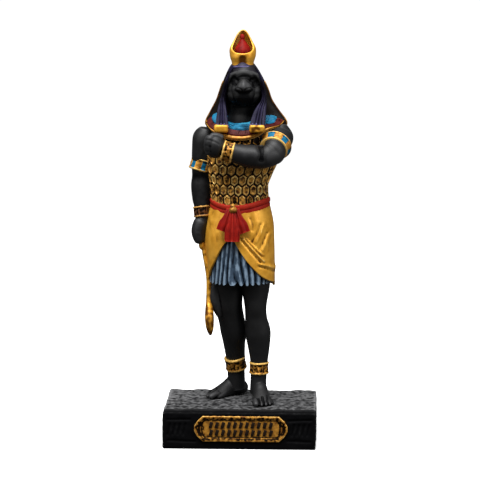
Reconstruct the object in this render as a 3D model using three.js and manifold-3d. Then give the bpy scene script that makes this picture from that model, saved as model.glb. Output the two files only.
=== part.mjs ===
// A painted cast-resin figure of a falcon-headed god: double crown, long wig, broad collar,
// scale corselet, sash and kilt, one fist on the chest and a sickle sword in the lowered hand.
// Figure, sword and plinth are one casting. Millimetres, +Z up, the front faces -Y, and the
// origin is the middle of the plinth's underside.
import * as THREE from "three";
import { mergeVertices } from "three/addons/utils/BufferGeometryUtils.js";
import Module from "manifold-3d";

const wasm = await Module();
wasm.setup();

// Driving dimensions
const totalHeight = 90;
const plinthWidth = 33.2;
const plinthDepth = 23.6;
const plinthHeight = 8.1;
const plinthCorner = 0.5;
const plateWidth = 20.2;
const plateHeight = 5.6;
const plateProud = 0.45;
const plateShift = 0.4;
const plateRise = 4.6;
const strokeDepth = 0.22;

// The figure is drawn at this height above its soles, and every measure of it below is a share
// of that: changing totalHeight or plinthHeight grows or shrinks the whole figure.
const drawnHeight = 81.9;
const figureScale = (totalHeight - plinthHeight) / drawnHeight;

const { sin, cos, tan, exp, min, max, abs, sign, hypot, PI } = Math;
const turn = PI / 180;
const vec = (p) => new THREE.Vector3(...p);

// A closed three.js geometry as a solid.
function solid(geometry) {
  const bare = geometry.clone();
  for (const name of ["normal", "uv"]) bare.deleteAttribute(name);
  const merged = mergeVertices(bare, 1e-4);
  const mesh = new wasm.Mesh({
    numProp: 3,
    vertProperties: merged.attributes.position.array,
    triVerts: new Uint32Array(merged.index.array),
  });
  return new wasm.Manifold(mesh);
}

// Joins any number of solids, and lists of solids, into one.
const join = (...solids) => solids.flat().reduce((all, one) => all.add(one));

// The same solid with every pocket that is closed on all sides filled in.
const filled = (made) => join(made.decompose().filter((shell) => shell.volume() > 0));

// Moves every vertex of a geometry to where place(x, y, z) puts it.
function moved(geometry, place) {
  const at = geometry.attributes.position;
  for (let i = 0; i < at.count; i++) {
    at.setXYZ(i, ...place(at.getX(i), at.getY(i), at.getZ(i)));
  }
  return geometry;
}

// A value of a smooth curve through evenly spaced numbers, at share t from 0 to 1.
function along(values, t) {
  const last = values.length - 1;
  const i = min(Math.floor(t * last), last - 1);
  const s = t * last - i;
  const [a, b, c, d] = [max(i - 1, 0), i, i + 1, min(i + 2, last)].map((n) => values[n]);
  const slope = (c - a) / 2;
  const next = (d - b) / 2;
  return b + s * (slope + s * (3 * (c - b) - 2 * slope - next + s * (2 * (b - c) + slope + next)));
}

// A limb through sections [x, y, z, half size towards `side`, half size across it].
function limb(sections, { sides = 10, steps = 8, side = [1, 0, 0] } = {}) {
  const path = new THREE.CatmullRomCurve3(sections.map(vec3OfSection), false, "centripetal");
  const wide = sections.map((s) => s[3]);
  const deep = sections.map((s) => s[4]);
  const form = new THREE.CylinderGeometry(1, 1, 1, sides, steps);
  return solid(
    moved(form, (x, y, z) => {
      const t = min(max(0.5 - y, 0), 1);
      const centre = path.getPoint(t);
      const ahead = path.getTangent(t);
      const towards = vec(side).projectOnPlane(ahead).normalize();
      const across = ahead.clone().cross(towards);
      centre.addScaledVector(towards, x * along(wide, t));
      centre.addScaledVector(across, z * along(deep, t));
      return centre.toArray();
    }),
  );
}

function vec3OfSection([x, y, z]) {
  return new THREE.Vector3(x, y, z);
}

// A body of level rings from the top one to the bottom one. at(angle, t) gives the point of the
// skin, with the angle from the front towards the figure's left, and t from 0 at the top to 1.
function body(at, { sides = 24, steps = 8, topCentre, bottomCentre }) {
  const form = new THREE.CylinderGeometry(1, 1, 1, sides, steps);
  return solid(
    moved(form, (x, y, z) => {
      if (hypot(x, z) < 0.5) return y > 0 ? topCentre : bottomCentre;
      return at(Math.atan2(x, z), min(max(0.5 - y, 0), 1));
    }),
  );
}

// The same body from a list of rings [z, x, y, half width, half depth], top first.
function ringed(rings, { sides = 24, steps = 8, proud = () => 0 } = {}) {
  const at = (angle, t) => ringPoint(rings, angle, t, proud(angle, t));
  const [first, last] = [rings[0], rings.at(-1)];
  return body(at, {
    sides,
    steps,
    topCentre: [first[1], first[2], first[0]],
    bottomCentre: [last[1], last[2], last[0]],
  });
}

// The point of a ringed skin at an angle and share t, moved out by `out`.
function ringPoint(rings, angle, t, out = 0) {
  const [z, x, y, wide, deep] = [0, 1, 2, 3, 4].map((k) => along(rings.map((r) => r[k]), t));
  return [x + (wide + out) * sin(angle), y - (deep + out) * cos(angle), z];
}

function ball(centre, [a, b, c], sides = 8, rings = 6) {
  const form = new THREE.SphereGeometry(1, sides, rings);
  return solid(moved(form, (x, y, z) => [centre[0] + a * x, centre[1] - b * z, centre[2] + c * y]));
}

// A body of revolution about +Z from a profile of [radius, height], bottom to top.
function turned(profile, sides, place = (x, y, z) => [x, y, z]) {
  const points = profile.map(([r, h]) => new THREE.Vector2(r, h));
  const form = new THREE.LatheGeometry(points, sides);
  return solid(moved(form, (x, y, z) => place(x, -z, y)));
}

// A plain band around a limb, set across the direction `ahead`.
function band(centre, ahead, side, [wide, deep], height, sides = 8) {
  const forward = vec(ahead).normalize();
  const towards = vec(side).projectOnPlane(forward).normalize();
  const across = forward.clone().cross(towards);
  const half = height / 2;
  const profile = [[0, -half], [1, -half], [1, half], [0, half]];
  return turned(profile, sides, (x, y, z) =>
    vec(centre)
      .addScaledVector(towards, x * wide)
      .addScaledVector(across, y * deep)
      .addScaledVector(forward, z)
      .toArray(),
  );
}

// Legs: the left one carries the weight, the right one is eased back and turned out.
function legs() {
  const left = [
    [3.1, 1.2, 32, 3.4, 3.4],
    [3.1, 0.9, 26, 3.2, 3.1],
    [3.12, 0.6, 21.4, 2.45, 2.5],
    [3.25, 0.9, 18.4, 2.45, 2.5],
    [3.6, 1.6, 15.3, 2.85, 2.95],
    [3.8, 1.9, 12, 2.45, 2.55],
    [3.85, 2.0, 8.5, 1.95, 2.05],
    [3.75, 2.0, 5, 1.8, 1.95],
    [3.65, 2.0, 1.4, 1.85, 2.2],
  ];
  const right = [
    [-3.3, 1.6, 32, 3.6, 3.4],
    [-3.4, 1.8, 26, 3.85, 3.15],
    [-3.05, 2.1, 21.4, 3.25, 2.8],
    [-2.4, 2.8, 18.4, 2.9, 2.7],
    [-1.85, 3.8, 15, 2.9, 2.85],
    [-1.75, 4.8, 12, 2.45, 2.5],
    [-1.5, 5.7, 8.3, 2.1, 2.05],
    [-1.4, 6.2, 5, 1.95, 2.0],
    [-1.3, 6.5, 1.4, 2.0, 2.1],
  ];
  // The casting is filled in where the right thigh stands against the sword.
  const web = [
    [-5.4, 0.5, 27.5, 1.1, 1.2],
    [-5.8, 0.1, 25, 1.3, 1.2],
    [-5.8, -0.2, 22.8, 1.25, 1.1],
    [-5.3, 0, 20.7, 0.95, 1],
    [-4.7, 0.6, 18.8, 0.5, 0.7],
  ];
  return [limb(left, { sides: 8 }), limb(right, { sides: 8 }), limb(web, { sides: 5, steps: 4 })];
}

// A bare foot from heel to toes on the ground, turned out by `out` degrees.
function foot([heelX, heelY], out, bigToeSide) {
  const ahead = [sin(out * turn), -cos(out * turn)];
  const across = [cos(out * turn), sin(out * turn)];
  const at = (s, w, z) => [
    heelX + ahead[0] * s + across[0] * w,
    heelY + ahead[1] * s + across[1] * w,
    z,
  ];
  // Along the sole: distance from the heel, half width, height of the instep.
  const sole = [
    [-0.1, 1.1, 1.9],
    [1.0, 1.7, 3.2],
    [2.9, 1.75, 4.4],
    [5.0, 1.8, 3.3],
    [6.8, 2.1, 2.3],
    [8.2, 2.4, 1.55],
    [9.4, 2.2, 1.1],
  ];
  const sunk = 0.3;
  const sections = sole.map(([s, half, top]) => [
    ...at(s, 0, (top - sunk) / 2),
    (top + sunk) / 2,
    half,
  ]);
  const toes = [1.75, 0.55, -0.45, -1.38, -2.2].map((w, n) => {
    const size = n === 0 ? 0.7 : 0.56 - 0.03 * n;
    const reach = 10.7 - 0.15 * n * n;
    return ball(at(reach, bigToeSide * w, size * 0.8), [size, size * 1.3, size * 0.95], 5, 3);
  });
  return [limb(sections, { sides: 8, steps: 6, side: [0, 0, 1] }), toes].flat();
}

// Underskirt: a pleated cone under the open kilt.
const skirtRings = [
  [38, -0.4, 0.8, 5.9, 4.9],
  [33, -0.4, 0.8, 6.35, 5.5],
  [29, -0.3, 0.8, 6.5, 5.75],
  [27, -0.25, 0.8, 6.5, 5.8],
];
const pleats = 18;

function underskirt() {
  const depth = 0.36;
  const proud = (angle, t) => depth * (0.3 + 0.7 * t) * cos(pleats * angle);
  return ringed(skirtRings, { sides: pleats * 2, steps: 2, proud });
}

// Kilt: its front edges part in a curve from under the sash and fall to the sides.
const kiltRings = [
  [44.2, -0.25, 0.9, 6.4, 4.6],
  [40, -0.3, 0.9, 7.35, 5.4],
  [36, -0.45, 0.9, 7.7, 6.0],
  [31, -0.2, 0.9, 7.55, 6.25],
  [25.9, 0.05, 0.9, 7.25, 6.3],
];
const kiltTop = kiltRings[0][0];
const kiltFoot = kiltRings.at(-1)[0];
const kiltPartX = -1.3;
const kiltPartZ = 36.6;

function kiltHem(angle) {
  const around = Math.atan2(sin(angle), cos(angle));
  if (abs(around) > PI / 2) return kiltFoot + (around > 0 ? 0 : 1.4 * (1 - around / -PI));
  const from = kiltRings.at(-1)[1] + kiltRings.at(-1)[3] * sin(around) - kiltPartX;
  if (from > 0) return max(kiltFoot, kiltPartZ - 11.6 * (1 - exp(-from / 5)));
  return max(kiltFoot + 0.7, kiltPartZ + from - 0.098 * from * from);
}

// A raised fold along a line that leans `lean` radians for each millimetre down.
const fold = (angle, z, where, lean, width, height) => {
  const off = Math.atan2(sin(angle - where - lean * z), cos(angle - where - lean * z));
  return height * exp(-((off / width) ** 2));
};

function kilt() {
  const at = (angle, t) => {
    const z = kiltTop + (kiltHem(angle) - kiltTop) * t;
    const down = kiltTop - z;
    const swell = min(down / 4, 1);
    const out =
      swell *
      (fold(angle, down, 0.05, 0.055, 0.1, 0.35) +
        fold(angle, down, 0.35, 0.05, 0.12, 0.3) +
        fold(angle, down, -0.75, -0.02, 0.14, 0.2) +
        fold(angle, down, 2.2, -0.02, 0.16, 0.25) +
        fold(angle, down, -2.4, 0.02, 0.16, 0.25));
    return ringPoint(kiltRings, angle, down / (kiltTop - kiltFoot), out);
  };
  return body(at, {
    sides: 32,
    steps: 4,
    topCentre: [kiltRings[0][1], kiltRings[0][2], kiltTop],
    bottomCentre: [-0.3, 0.9, 34],
  });
}

// Sash: a folded belt that dips at the front, a brooch and three hanging ends.
function sash() {
  const dip = (angle) => -1.35 * max(0, cos(angle + 0.2)) ** 2;
  const profile = [-1.15, -0.8, 0.1, 0.9, 1.15];
  const bulge = [-0.3, 0.4, 0.28, 0.4, -0.2];
  const at = (angle, t) => {
    const n = Math.round(t * (profile.length - 1));
    const [x, y] = ringPoint([[0, -0.3, 0.9, 6.2, 4.65], [0, -0.3, 0.9, 6.2, 4.65]], angle, 0, bulge[n]);
    return [x, y, 44.4 - profile[n] + dip(angle)];
  };
  const belt = body(at, {
    sides: 18,
    steps: profile.length - 1,
    topCentre: [-0.3, 0.9, 44.8],
    bottomCentre: [-0.3, 0.9, 43.4],
  });
  const hanging = (top, foot, topHalf, footHalf, thick) =>
    limb(
      [
        [...top, topHalf, thick * 0.7],
        [(top[0] * 2 + foot[0]) / 3, (top[1] * 2 + foot[1]) / 3 - 0.25, (top[2] * 2 + foot[2]) / 3, topHalf, thick],
        [(top[0] + foot[0] * 2) / 3, (top[1] + foot[1] * 2) / 3 - 0.3, (top[2] + foot[2] * 2) / 3, footHalf, thick],
        [...foot, footHalf, thick],
      ],
      { sides: 6, steps: 3 },
    );
  return [
    belt,
    hanging([-2.3, -4.2, 43.4], [-4.0, -5.5, 38.8], 0.75, 1.25, 0.5),
    hanging([-0.9, -4.2, 43.4], [0.9, -5.6, 38.4], 0.75, 1.3, 0.5),
    hanging([-1.6, -4.7, 43.6], [-1.75, -6.1, 36.5], 0.9, 1.5, 0.6),
    ball([-1.55, -4.65, 43.3], [0.85, 1.25, 0.75], 6, 4),
    ball([-1.65, -4.55, 44.2], [0.5, 1.1, 0.5], 6, 4),
  ];
}

// Torso in its corselet, from under the collar to the sash. Its skin is rows of long six-sided
// scales, each row half a scale off the next, raised from the grooves between them.
const torsoRings = [
  [61.5, 0.5, 1.3, 5.2, 3.0],
  [60.0, 0.4, 1.2, 7.3, 4.1],
  [57.4, 0.3, 1.0, 7.8, 4.8],
  [54.2, 0.35, 0.95, 7.75, 4.85],
  [51.2, -0.15, 0.9, 6.95, 4.6],
  [48.2, -0.5, 0.9, 6.1, 4.35],
  [45.4, -0.45, 0.9, 6.15, 4.4],
  [42.6, -0.35, 0.9, 6.2, 4.5],
];
const scaleRows = 6;
const scalesPerRow = 21;
const scaleRowHeight = 2.2;
const firstScaleRow = 45.1;
const scaleProud = 0.34;

// Share t of the torso's rings at a height.
function torsoShare(height) {
  let t = 0;
  for (let size = 0.5; size > 1e-4; size /= 2) {
    if (along(torsoRings.map((r) => r[0]), t + size) > height) t += size;
  }
  return t;
}

// Angle round the torso at a share of its girth: the scales are a little wider in front.
function angleAround(share) {
  const whole = Math.round(share);
  const rest = (share - whole) * 2 * PI;
  return whole * 2 * PI + rest - 0.06 * sin(2 * rest);
}

// One side of a corselet scale's outline: its two halves meet at the tips.
const scaleOutline = [
  [0, 2 / 3],
  [0.5, 1 / 3],
  [0.5, -1 / 3],
  [0, -2 / 3],
  [-0.5, -1 / 3],
  [-0.5, 1 / 3],
];

function torso() {
  const at = [];
  const faces = [];
  const seen = new Map();
  const corner = (u, v, out) => {
    const key = [Math.round(u * 60) % (scalesPerRow * 60), Math.round(v * 60), out].join();
    if (!seen.has(key)) {
      const t = torsoShare(firstScaleRow + v * scaleRowHeight);
      at.push(...ringPoint(torsoRings, angleAround(u / scalesPerRow), t, out));
      seen.set(key, at.length / 3 - 1);
    }
    return seen.get(key);
  };
  for (let row = 0; row < scaleRows; row++) {
    for (let n = 0; n < scalesPerRow; n++) {
      const u = n + ((row + 1) % 2) / 2 + 1;
      const edge = scaleOutline.map(([a, b]) => corner(u + a, row + b, 0));
      if (cos(angleAround(u / scalesPerRow)) < -0.3) {
        // Behind, a scale is a plain raised point.
        const peak = corner(u, row, scaleProud);
        for (let k = 0; k < 6; k++) faces.push(edge[k], peak, edge[(k + 1) % 6]);
        continue;
      }
      const plate = scaleOutline.map(([a, b]) => corner(u + a * 0.7, row + b * 0.74, scaleProud));
      for (let k = 0; k < 6; k++) {
        const next = (k + 1) % 6;
        faces.push(edge[k], plate[next], edge[next]);
        faces.push(edge[k], plate[k], plate[next]);
      }
      faces.push(plate[0], plate[2], plate[1], plate[0], plate[3], plate[2]);
      faces.push(plate[0], plate[4], plate[3], plate[0], plate[5], plate[4]);
    }
  }
  // The saw-toothed edges of the top and bottom rows run to a point under the neck or the sash.
  for (const [row, up, peak] of [[0, -1, firstScaleRow], [scaleRows - 1, 1, torsoRings[0][0]]]) {
    at.push(0.2, 1, peak);
    const centre = at.length / 3 - 1;
    for (let n = 0; n < scalesPerRow; n++) {
      const u = n + ((row + 1) % 2) / 2 + 1;
      const [left, tip, right] = [-0.5, 0, 0.5].map((a) =>
        corner(u + a, row + up * (a ? 1 / 3 : 2 / 3), 0),
      );
      for (const [a, b] of [[left, tip], [tip, right]]) {
        faces.push(...(up > 0 ? [centre, a, b] : [centre, b, a]));
      }
    }
  }
  const form = new THREE.BufferGeometry();
  form.setAttribute("position", new THREE.Float32BufferAttribute(at, 3));
  form.setIndex(faces);
  return solid(form);
}

// Right arm, hanging, with armlet, bracelet and a smooth fist around the sword's grip.
function rightArm() {
  const arm = [
    [-7.6, 1.5, 60.4, 1.5, 1.7],
    [-8.0, 1.6, 58.6, 2.6, 2.6],
    [-8.5, 1.8, 55.4, 2.4, 2.5],
    [-8.9, 2.1, 52.2, 2.05, 2.15],
    [-8.8, 2.1, 49.9, 2.1, 1.95],
    [-8.8, 1.8, 47.8, 2.3, 2.05],
    [-8.7, 1.2, 45, 2.1, 1.8],
    [-8.55, 0.7, 42.2, 1.6, 1.45],
    [-8.5, 0.4, 39.6, 1.45, 1.4],
  ];
  const fist = [
    [-8.55, 0.2, 40.8, 1.35, 1.4],
    [-9.1, 0.0, 39.4, 1.55, 1.65],
    [-9.35, -0.1, 37.9, 1.6, 1.75],
    [-9.15, -0.2, 36.4, 1.4, 1.55],
    [-8.8, -0.3, 35.4, 0.8, 0.9],
  ];
  return [
    limb(arm, { sides: 8, steps: 8 }),
    limb(fist, { sides: 8, steps: 5 }),
    band([-9.1, 1.95, 52.35], [0.3, 0.1, 1], [1, 0, 0], [2.25, 2.45], 2.7, 8),
    band([-8.6, 0.75, 42.2], [-0.12, 0.15, 1], [1, 0, 0], [1.85, 1.75], 2.4),
  ];
}

// Left arm, bent across the chest, with armlet, bracelet and a closed fist.
function leftArm() {
  const upper = [
    [8.3, 0.9, 61.2, 1.5, 1.6],
    [8.5, 0.4, 59.0, 2.8, 2.7],
    [8.1, -1.6, 57.9, 2.95, 2.9],
    [7.5, -3.4, 56.9, 3.0, 3.0],
    [7.2, -4.9, 56.0, 2.5, 2.6],
  ];
  const fore = [
    [8.5, -4.5, 56.0, 1.5, 1.6],
    [7.1, -5.3, 55.5, 2.4, 2.3],
    [4.6, -6.2, 55.0, 2.55, 2.4],
    [1.8, -6.6, 55.15, 2.45, 2.2],
    [-1.0, -6.8, 55.8, 2.05, 1.9],
    [-3.6, -6.7, 56.6, 1.8, 1.7],
  ];
  const knuckles = [
    [-6.1, -7.0, 59.5, 0.8, 0.9],
    [-6.4, -7.2, 58.4, 1.3, 1.3],
    [-6.4, -7.2, 56.8, 1.3, 1.3],
    [-6.0, -7.0, 55.6, 0.8, 0.9],
  ];
  const thumb = [
    [-3.6, -6.9, 58.9, 0.8, 0.9],
    [-5.0, -7.1, 59.5, 0.75, 0.8],
    [-6.4, -7.2, 59.6, 0.5, 0.6],
  ];
  return [
    limb(upper, { sides: 8, steps: 4 }),
    ball([7.2, -4.8, 56.0], [2.6, 2.6, 2.9], 8, 6),
    limb(fore, { sides: 8, steps: 5, side: [0, 0, 1] }),
    ball([-5.3, -6.7, 57.3], [2.2, 2.1, 2.6], 8, 6),
    limb(knuckles, { sides: 6, steps: 3 }),
    limb(thumb, { sides: 6, steps: 3, side: [0, 0, 1] }),
    band([7.3, -3.65, 56.8], [-0.25, -1, -0.45], [1, 0, 0], [3.35, 3.25], 2.1, 10),
    band([-2.6, -6.75, 56.1], [-1, 0.02, 0.25], [0, 0, 1], [2.2, 2.1], 2.4),
  ];
}

// Broad collar: bands that lie on the shoulders and dip at the front.
function collar() {
  // From the neck out: share of the spread, and how far each band stands proud.
  const bands = [
    [0, 0],
    [0.1, 0.3],
    [0.45, 0.34],
    [0.46, 0.16],
    [0.8, 0.24],
    [0.81, 0.36],
    [1, 0.36],
    [1.0, -0.3],
  ];
  const at = (angle, t) => {
    const [even, proud] = bands[Math.round(t * (bands.length - 1))];
    // Over the shoulders the bands crowd out towards the rim.
    const crowd = min(max(2.5 * abs(sin(angle)) - 1.5, 0), 1);
    const share = 1 - (1 - even) ** (1 + crowd);
    const front = max(0, cos(angle));
    const back = max(0, -cos(angle));
    const wide = 3.3 + (8.3 - 3.3) * share;
    const deepFront = 3.9 + (5.9 - 3.9) * share;
    const deepBack = 3.2 + (5.0 - 3.2) * share;
    const x = 0.85 - 0.8 * front * share + (wide + proud * 0.5) * sin(angle);
    const y = 1.1 - (deepFront + proud * 0.6) * front + (deepBack + proud * 0.6) * back;
    // Over the left shoulder the collar rides higher, and it swells over both.
    const turned = Math.atan2(sin(angle), cos(angle));
    const shoulder = exp(-(((turned - 0.75) / 0.35) ** 2));
    const neck = 63.5 - 1.7 * min(front * 3, 1) + 0.55 * shoulder;
    const edge = 61.9 - 3.4 * front ** 1.3 - 1.6 * back + 0.85 * shoulder;
    const swell = (turned < 0 ? 0.8 : 0.3) * min(max(2 * abs(sin(angle)) - 1, 0), 1);
    return [x, y, neck + (edge - neck) * share + 4 * swell * share * (1 - share) + proud * 0.7];
  };
  return body(at, {
    sides: 20,
    steps: bands.length - 1,
    topCentre: [0.5, 0.8, 62],
    bottomCentre: [0.3, 1, 59.5],
  });
}

// Falcon head, lifted a little, on a thick neck: round skull and jaw, a broad beak with a
// short hook, and heavy brows over sunken eyes.
function head() {
  const middle = 0.7;
  const neck = [
    [0.3, 1.2, 59, 3.6, 3.4],
    [0.2, 1.0, 62.5, 3.2, 3.2],
    [0.3, 1.0, 64.5, 2.9, 3.0],
    [0.5, 0.7, 68, 2.6, 2.8],
  ];
  const beak = [
    [middle - 0.1, -2.3, 71.2, 0.35, 0.5],
    [middle - 0.1, -3.3, 70.8, 0.8, 0.8],
    [middle - 0.05, -4.05, 70.3, 1.3, 0.95],
    [middle, -4.45, 69.8, 1.75, 1.0],
    [middle, -4.2, 69.1, 1.5, 0.85],
    [middle, -3.6, 67.9, 1.2, 0.8],
  ];
  const hook = [
    [middle, -4.45, 70.4, 0.6, 0.5],
    [middle, -5.1, 69.7, 0.55, 0.45],
    [middle, -5.2, 69.2, 0.35, 0.35],
    [middle, -5.0, 68.8, 0.15, 0.2],
  ];
  const brow = [
    [middle - 3.6, -0.85, 69.7, 0.4, 0.5],
    [middle - 3.4, -1.25, 71.0, 0.5, 0.55],
    [middle - 2.5, -1.7, 72.2, 0.6, 0.6],
    [middle, -2.15, 72.9, 0.65, 0.6],
    [middle + 2.5, -1.7, 72.2, 0.6, 0.6],
    [middle + 3.4, -1.25, 71.0, 0.5, 0.55],
    [middle + 3.6, -0.85, 69.7, 0.4, 0.5],
  ];
  return [
    ball([middle, 0.25, 69.3], [3.9, 4.1, 3.9], 12, 8),
    ball([middle, 0.3, 71.6], [3.35, 3.7, 3.6], 12, 8),
    ball([middle - 0.1, -1.05, 68.0], [3.65, 2.9, 2.5], 10, 6),
    ball([middle - 0.1, -2.3, 69.6], [2.6, 2.3, 4.0], 8, 6),
    limb(neck, { sides: 8, steps: 3 }),
    limb(beak, { sides: 8, steps: 6 }),
    limb(hook, { sides: 5, steps: 4 }),
    limb(brow, { sides: 6, steps: 8, side: [0, 0, 1] }),
  ];
}

// Wig: a long mantle with edged fronts, and two locks in front that end in gold clasps.
const mantleRings = [
  [75.3, 0.35, 0.9, 1.6, 2.2],
  [74.0, 0.35, 1.0, 2.8, 3.6],
  [71.8, 0.45, 1.6, 4.0, 4.1],
  [69.2, 0.55, 2.1, 5.1, 4.2],
  [66.6, 0.55, 2.5, 6.0, 4.1],
  [64.2, 0.7, 2.8, 7.4, 4.0],
  [61.9, 0.95, 2.9, 8.8, 4.0],
  [59.6, 0.9, 3.2, 8.4, 3.8],
  [57.6, 0.7, 3.4, 7.4, 3.6],
];
const locks = 16;

function wig() {
  // The locks crowd together behind, where they show, and spread out in front, where they don't.
  const at = (angle, t) => {
    const around = angle + 0.55 * sin(angle);
    const [x, y, z] = ringPoint(mantleRings, around, t, 0.16 * t * cos(locks * angle));
    // Below the brow the mantle's front is set back behind the face.
    return [x, y + 1.5 * max(cos(around), 0) * min(max(8 * t - 1, 0), 1), z];
  };
  const mantle = body(at, {
    sides: locks * 2,
    steps: 6,
    topCentre: [0.35, 0.9, 75.3],
    bottomCentre: [0.7, 2.6, 57.8],
  });
  const edging = (way) => {
    const path = [0.3, 0.45, 0.62, 0.8].map((t) => [
      ...ringPoint(mantleRings, way * 1.5, t, 0.02),
      0.2,
      0.2,
    ]);
    return limb(path, { sides: 4, steps: 4 });
  };
  const clasp = (x, half) => {
    const form = new THREE.BoxGeometry(half * 2 + 0.3, 1.8, 1.7);
    form.translate(x, -4.8, 60.9);
    return solid(form);
  };
  const left = [
    [-0.6, 0.4, 74.3, 0.2, 0.8],
    [-2.75, -0.8, 71.6, 0.25, 1.5],
    [-3.5, -1.0, 68.8, 0.35, 1.6],
    [-3.95, -1.7, 66.4, 0.5, 1.6],
    [-4.05, -3.0, 64.1, 0.9, 1.3],
    [-4.0, -4.5, 61.2, 1.3, 1.0],
  ];
  const right = [
    [2.0, 0.4, 74.3, 0.2, 0.8],
    [4.2, -0.8, 71.6, 0.25, 1.5],
    [4.85, -1.0, 68.8, 0.35, 1.6],
    [4.9, -1.7, 66.4, 0.5, 1.6],
    [4.15, -3.0, 64.1, 1.15, 1.3],
    [3.55, -4.5, 61.2, 1.55, 1.0],
  ];
  return [
    mantle,
    edging(-1),
    edging(1),
    limb(left, { sides: 8, steps: 6 }),
    limb(right, { sides: 8, steps: 6 }),
    clasp(-4.15, 1.38),
    clasp(3.6, 1.5),
  ];
}

// Double crown: an open cup that rises to a peak at the back, around a smaller bulb with a knob.
// Its profiles are [radius, height above the crown's foot].
const crownX = 0.3;
const crownY = 0.2;
const crownLean = 0.14;
const crownFoot = 73.6;

function crown() {
  const cup = [
    [0, 0],
    [1.95, 0],
    [2.4, 1.3],
    [2.8, 2.6],
    [2.88, 3.9],
    [2.6, 4.8],
    [2.1, 5.7],
    [1.65, 6.6],
    [1.15, 7.45],
    [0.6, 8.05],
    [0, 8.3],
  ];
  const hollow = [
    [0, 2.6],
    [2.32, 2.6],
    [2.57, 3.9],
    [1.8, 5.6],
    [0.9, 7.3],
    [0, 8.0],
  ];
  const bulb = [
    [0, 2],
    [1.5, 2.2],
    [1.8, 3.9],
    [1.65, 4.9],
    [1.15, 5.55],
    [0.46, 6.6],
    [0.54, 7.0],
    [0.25, 7.7],
    [0, 7.75],
  ];
  const set = (x, y, z) => [crownX + x, crownY + y + crownLean * z, crownFoot + z];
  // The front opening, seen from the side: its edge climbs ever more steeply to the peak.
  const opening = [
    [-6, 2.8],
    [-2.6, 3.05],
    [-1.7, 3.4],
    [-1.0, 3.9],
    [-0.3, 4.6],
    [0.3, 5.4],
    [0.7, 6.2],
    [1.0, 7.0],
    [1.2, 7.8],
    [1.3, 9],
    [-6, 9],
  ];
  const shape = new THREE.Shape(opening.map(([y, z]) => new THREE.Vector2(y - crownY, z)));
  const cutter = new THREE.ExtrudeGeometry(shape, { depth: 8, bevelEnabled: false });
  const open = turned(cup, 14, set)
    .subtract(turned(hollow, 10, set))
    .subtract(solid(moved(cutter, (x, y, z) => [crownX + z - 4, crownY + x, crownFoot + y])));
  return [open, turned(bulb, 9, (x, y, z) => set(x, y - 0.45, z))];
}

// Sickle sword, point down, from the fist past the kilt's edge.
function sword() {
  const blade = [
    [-8.5, 0.3, 36.5, 0.5, 0.6],
    [-8.1, 0.1, 33.2, 0.5, 0.75],
    [-7.5, 0.0, 30.0, 0.55, 0.85],
    [-7.05, -0.1, 27.0, 0.65, 0.85],
    [-7.15, -0.3, 22.8, 0.6, 0.85],
    [-7.0, -1.1, 20.6, 0.9, 1.15],
    [-6.9, -1.9, 18.6, 1.0, 1.35],
    [-6.8, -1.8, 16.6, 0.8, 1.1],
    [-6.74, -1.1, 15.1, 0.3, 0.45],
  ];
  return [limb(blade, { sides: 6, steps: 10 }), ball([-8.65, 0.1, 34.9], [0.7, 0.95, 1.15], 6, 5)];
}

function anklets() {
  return [
    band([3.85, 1.95, 7.2], [0, 0, 1], [1, 0, 0], [2.2, 2.3], 2.7),
    band([-1.52, 5.75, 7.4], [-0.15, -0.25, 1], [1, 0, 0], [2.4, 2.3], 2.9),
  ];
}

function figure() {
  const made = join(
    legs(),
    foot([3.6, 4.0], 9, -1),
    foot([0.4, 8.5], -52, 1),
    anklets(),
    underskirt(),
    kilt(),
    sash(),
    torso(),
    rightArm(),
    leftArm(),
    collar(),
    head(),
    wig(),
    crown(),
    sword(),
  );
  return made.scale(figureScale).translate([0, 0, plinthHeight]);
}

// Plinth: a block with eased edges, a raised name plate and rows of strokes that are no letters.
function block() {
  const [w, d, c] = [plinthWidth / 2, plinthDepth / 2, plinthCorner];
  const plan = new THREE.Shape();
  plan.moveTo(c - w, -d);
  plan.absarc(w - c, c - d, c, -PI / 2, 0);
  plan.absarc(w - c, d - c, c, 0, PI / 2);
  plan.absarc(c - w, d - c, c, PI / 2, PI);
  plan.absarc(c - w, c - d, c, PI, PI * 1.5);
  const eased = 0.25;
  const form = new THREE.ExtrudeGeometry(plan, {
    depth: plinthHeight - 2 * eased,
    bevelThickness: eased,
    bevelSize: eased,
    bevelOffset: -eased,
    bevelSegments: 1,
    curveSegments: 2,
  });
  return solid(form.translate(0, 0, eased));
}

// The plate's outline: long level edges between blunt points, smaller all round by `less`.
function plateShape(less = 0) {
  const [w, h] = [plateWidth / 2 - less, plateHeight / 2 - less];
  const end = plateHeight * 0.33;
  const right = [
    [w - end, h],
    [w - end * 0.35, h * 0.6],
    [w, h * 0.2],
    [w, -h * 0.2],
    [w - end * 0.35, -h * 0.6],
    [w - end, -h],
  ];
  const left = right.map(([x, y]) => [-x, y]).reverse();
  return new THREE.Shape([...right, ...left].reverse().map((p) => new THREE.Vector2(...p)));
}

// A slab of the plate's outline on the plinth's front face, from `from` to `to` proud of it.
function onFront(shape, from, to) {
  const form = new THREE.ExtrudeGeometry(shape, { depth: to - from, bevelEnabled: false });
  form.rotateX(PI / 2);
  form.translate(plateShift, -plinthDepth / 2 - from, plateRise);
  return solid(form);
}

// Shallow strokes on the plate: two rows of slanting bars that all lean the same way.
const strokeRows = 2;
const strokesPerRow = 11;
const strokeWidth = 0.68;

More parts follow.
